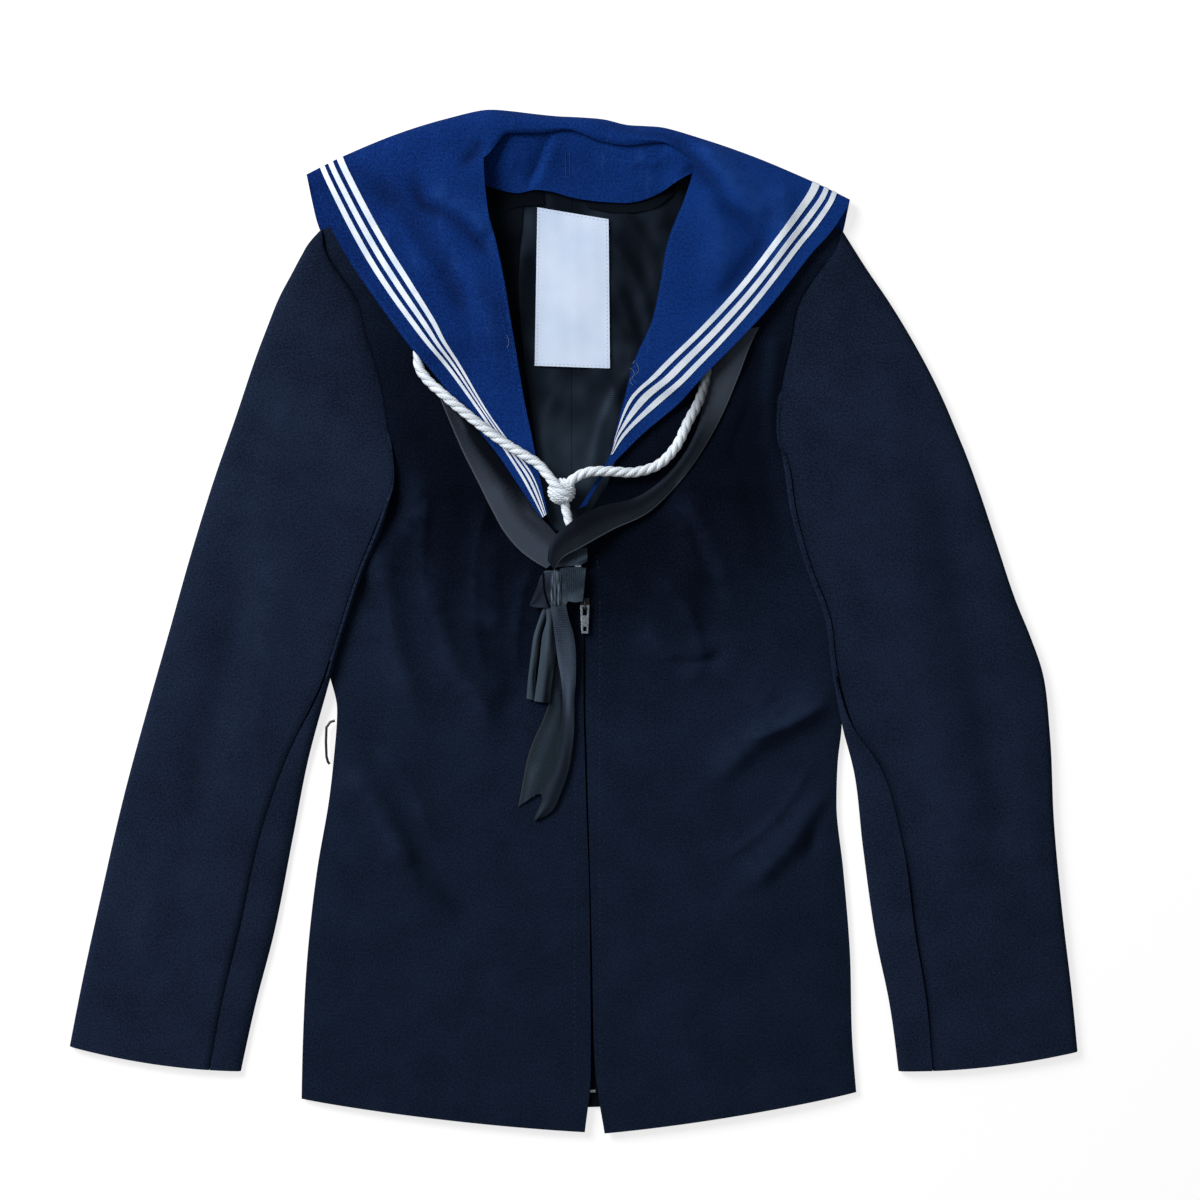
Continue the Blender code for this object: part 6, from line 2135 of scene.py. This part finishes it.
# LANYARD
@dataclass
class Lanyard:
    """A three-strand rope round the neck, knotted in front with a short tail."""

    finishes: Palette
    route: tuple[Triple, ...] = (
        (-6.5, 95, 19), (-11, 99.5, 21.8), (-15.5, 104, 22.2), (-21, 110.5, 21), (-28, 119, 19.8),
        (-40, 127, 20), (-56, 137, 19.9), (-72, 149, 19.9),
        (-87, 161, 19.7), (-101, 173, 19), (-112, 183, 15.6), (-119, 193, 14.5), (-120, 204, 14.3),
        (-113, 226, 14.3), (-104, 258, 14.3), (-97, 292, 14.3), (-92, 322, 14.3), (-87, 346, 14),
        (-70, 359, 10), (-40, 362, 8.4),
        (0, 359, 8.4), (40, 351, 8.4), (71, 351, 9.2), (90, 343, 13.6), (96, 322, 14.4), (98, 300, 14.4),
        (97, 275, 14.4), (96, 245, 14.3), (97, 215, 14.3), (98, 192, 14.3), (93.5, 171, 14.3), (83.5, 151, 14.3),
        (74.5, 133, 14.4), (62, 120, 15.2), (44, 114, 17), (24, 114.5, 19.4), (7, 113.5, 20.2),
        (-2, 109, 20), (-8, 102.5, 17.5),
    )
    tail: tuple[Triple, ...] = ((-9.5, 92, 15.5), (-8.9, 88.8, 14.8), (-6.5, 79, 14.4), (-4, 70, 14.2))
    knot_centre: Triple = (-11.5, 99.5, 16.0)
    knot_half: Triple = (11.0, 10.4, 8.8)
    knot_turns: float = 9.3
    knot_lean: float = 0.6
    knot_rise: float = 1.4
    knot_scale: float = 0.38
    knot_points: int = 400
    knot_step: float = 1.2
    tail_scale: float = 0.92
    diameter: float = 8.0
    count: int = 3
    strand: float = 2.5
    offset: float = 1.45
    pitch: float = 22.8
    sides: int = 9
    step: float = 1.3

    def strands(self, centres: Array, scale: float = 1.0) -> list[Shape]:
        """Lays the strands round a centre line.

        Args:
            centres: the centre line's points, in mm.
            scale: the rope's thickness as a share of its own.

        Returns:
            The strands.
        """
        (aside, up), run, shapes = carried(centres), run_along(centres)[:, None], []
        for number in range(self.count):
            turn = 2.0 * math.pi * (run / (self.pitch * scale) + number / self.count)
            path = centres + self.offset * scale * (np.cos(turn) * aside + np.sin(turn) * up)
            shapes.append(tube_rings(path, self.strand * scale, self.sides))
        return shapes

    def wound(self) -> list[Shape]:
        """Winds the knot's turns into a ball.

        Returns:
            The strands of its rope.
        """
        scale = self.knot_scale
        thick = scale * (self.strand + self.offset)
        turn = np.linspace(0.0, 2.0 * math.pi * self.knot_turns, self.knot_points)
        rise = self.knot_rise * (1.0 - 2.0 * turn / turn[-1])
        across, level = np.cos(rise) * np.sin(turn), np.sin(rise)
        lean, upright = math.sin(self.knot_lean), math.cos(self.knot_lean)
        ball = [across * upright + level * lean, level * upright - across * lean, np.cos(rise) * np.cos(turn)]
        winding = np.column_stack(ball) * (np.array(self.knot_half) - thick)
        return self.strands(route_through(self.knot_centre + winding, self.knot_step), scale)

    def build(self) -> None:
        """Makes the rope, its knot and its tail."""
        centres = route_through(self.route, self.step)
        rope = mesh_object("lanyard_rope", *joined(self.strands(centres)))
        tail = self.strands(route_through(self.tail, self.step), self.tail_scale)
        knot = mesh_object("lanyard_knot_and_tail", *joined(self.wound() + tail))
        for piece, nodes in ((rope, ("lanyard",)), (knot, ("lanyard_knot", "lanyard_tail"))):
            piece.data.materials.append(self.finishes.rope)
            make_active(piece)
            bpy.ops.object.shade_smooth_by_angle(angle=math.radians(60))
            dress(piece, "lanyard_rope", *nodes)


# STUDIO
@dataclass
class Studio:
    """A plain pale floor, soft light and a camera straight above."""

    centre: Pair = (0.0175, 0.0175)
    span: float = 0.912
    distance: float = 2.4
    sensor: float = 36.0
    sky: float = 0.27
    lamp_place: Triple = (-1.7, 1.4, 1.7)
    lamp_size: float = 1.3
    lamp_power: float = 89.0
    floor_glow: float = 0.74

    def camera(self) -> None:
        """Adds the camera."""
        data = bpy.data.cameras.new("camera")
        data.sensor_width = self.sensor
        data.lens = self.sensor * self.distance / self.span
        camera = bpy.data.objects.new("camera", data)
        camera.location = (*self.centre, self.distance)
        bpy.context.scene.collection.objects.link(camera)
        bpy.context.scene.camera = camera

    def light(self) -> None:
        """Adds the even sky and a broad lamp at the upper left."""
        world = bpy.data.worlds.new("soft sky")
        world.use_nodes = True
        world.node_tree.nodes["Background"].inputs[0].default_value = linear("#ffffff")
        world.node_tree.nodes["Background"].inputs[1].default_value = self.sky
        bpy.context.scene.world = world
        data = bpy.data.lights.new("broad lamp", "AREA")
        data.shape = "SQUARE"
        data.size = self.lamp_size
        data.energy = self.lamp_power
        lamp = bpy.data.objects.new("broad lamp", data)
        place = Vector(self.lamp_place)
        lamp.location = place
        lamp.rotation_euler = (-place).to_track_quat("-Z", "Y").to_euler()
        bpy.context.scene.collection.objects.link(lamp)

    def floor(self) -> None:
        """Adds the floor, which looks white and keeps the object's shadow."""
        deselect_all()
        bpy.ops.mesh.primitive_plane_add(size=40.0, location=(0.0, 0.0, -0.0004))
        floor = bpy.context.active_object
        floor.name = "floor"
        material = bpy.data.materials.new("Pale painted board")
        material.use_nodes = True
        tree = material.node_tree
        shader = tree.nodes["Principled BSDF"]
        shader.inputs["Base Color"].default_value = linear("#a0a0a0")
        shader.inputs["Roughness"].default_value = 1.0
        shader.inputs["Specular IOR Level"].default_value = 0.0
        shader.inputs["Emission Color"].default_value = linear("#ffffff")
        rays = [add(tree, "LightPath", out=kind) for kind in ("Is Camera Ray", "Is Glossy Ray", "Is Transmission Ray")]
        seen = add(tree, "Math", {0: rays[0], 1: rays[1]}, operation="MAXIMUM")
        seen = add(tree, "Math", {0: seen, 1: rays[2]}, operation="MAXIMUM")
        glow = add(tree, "Math", {0: seen, 1: self.floor_glow}, operation="MULTIPLY")
        tree.links.new(glow, shader.inputs["Emission Strength"])
        floor.data.materials.append(material)


def plain(bounds: Sequence[Sequence[float]]) -> list[list[float]]:
    """A box as plain lists of numbers."""
    return [[round(float(value), 5) for value in corner] for corner in bounds]


def main() -> None:
    """Builds the jumper in order and reports each piece."""
    logging.basicConfig(level=logging.INFO, format="%(message)s")
    bpy.context.scene.view_settings.view_transform = "Standard"
    studio = Studio()
    studio.camera()
    finishes = Palette()
    Lanyard(finishes).build()
    LOG.info("lanyard")
    Back(finishes).build()
    LOG.info("back")
    fronts = Fronts(finishes).build()
    LOG.info("fronts")
    for side, rows, creases, grain_deg in (
        ("right", SLEEVE_RIGHT, RIGHT_SLEEVE_CREASES, 14.0),
        ("left", SLEEVE_LEFT, LEFT_SLEEVE_CREASES, -8.0),
    ):
        Sleeve(finishes, side, rows, creases, grain_deg).build()
        LOG.info("sleeve %s", side)
    for kind in (Collar, NeckBand, NeckOpening, Zip):
        kind(finishes).build()
        LOG.info(kind.__name__)
    Bow(finishes, Ground(fronts)).build()
    LOG.info("bow")
    paint("belt_hook", finishes.black)
    studio.floor()
    studio.light()


if __name__ == "__main__":
    main()
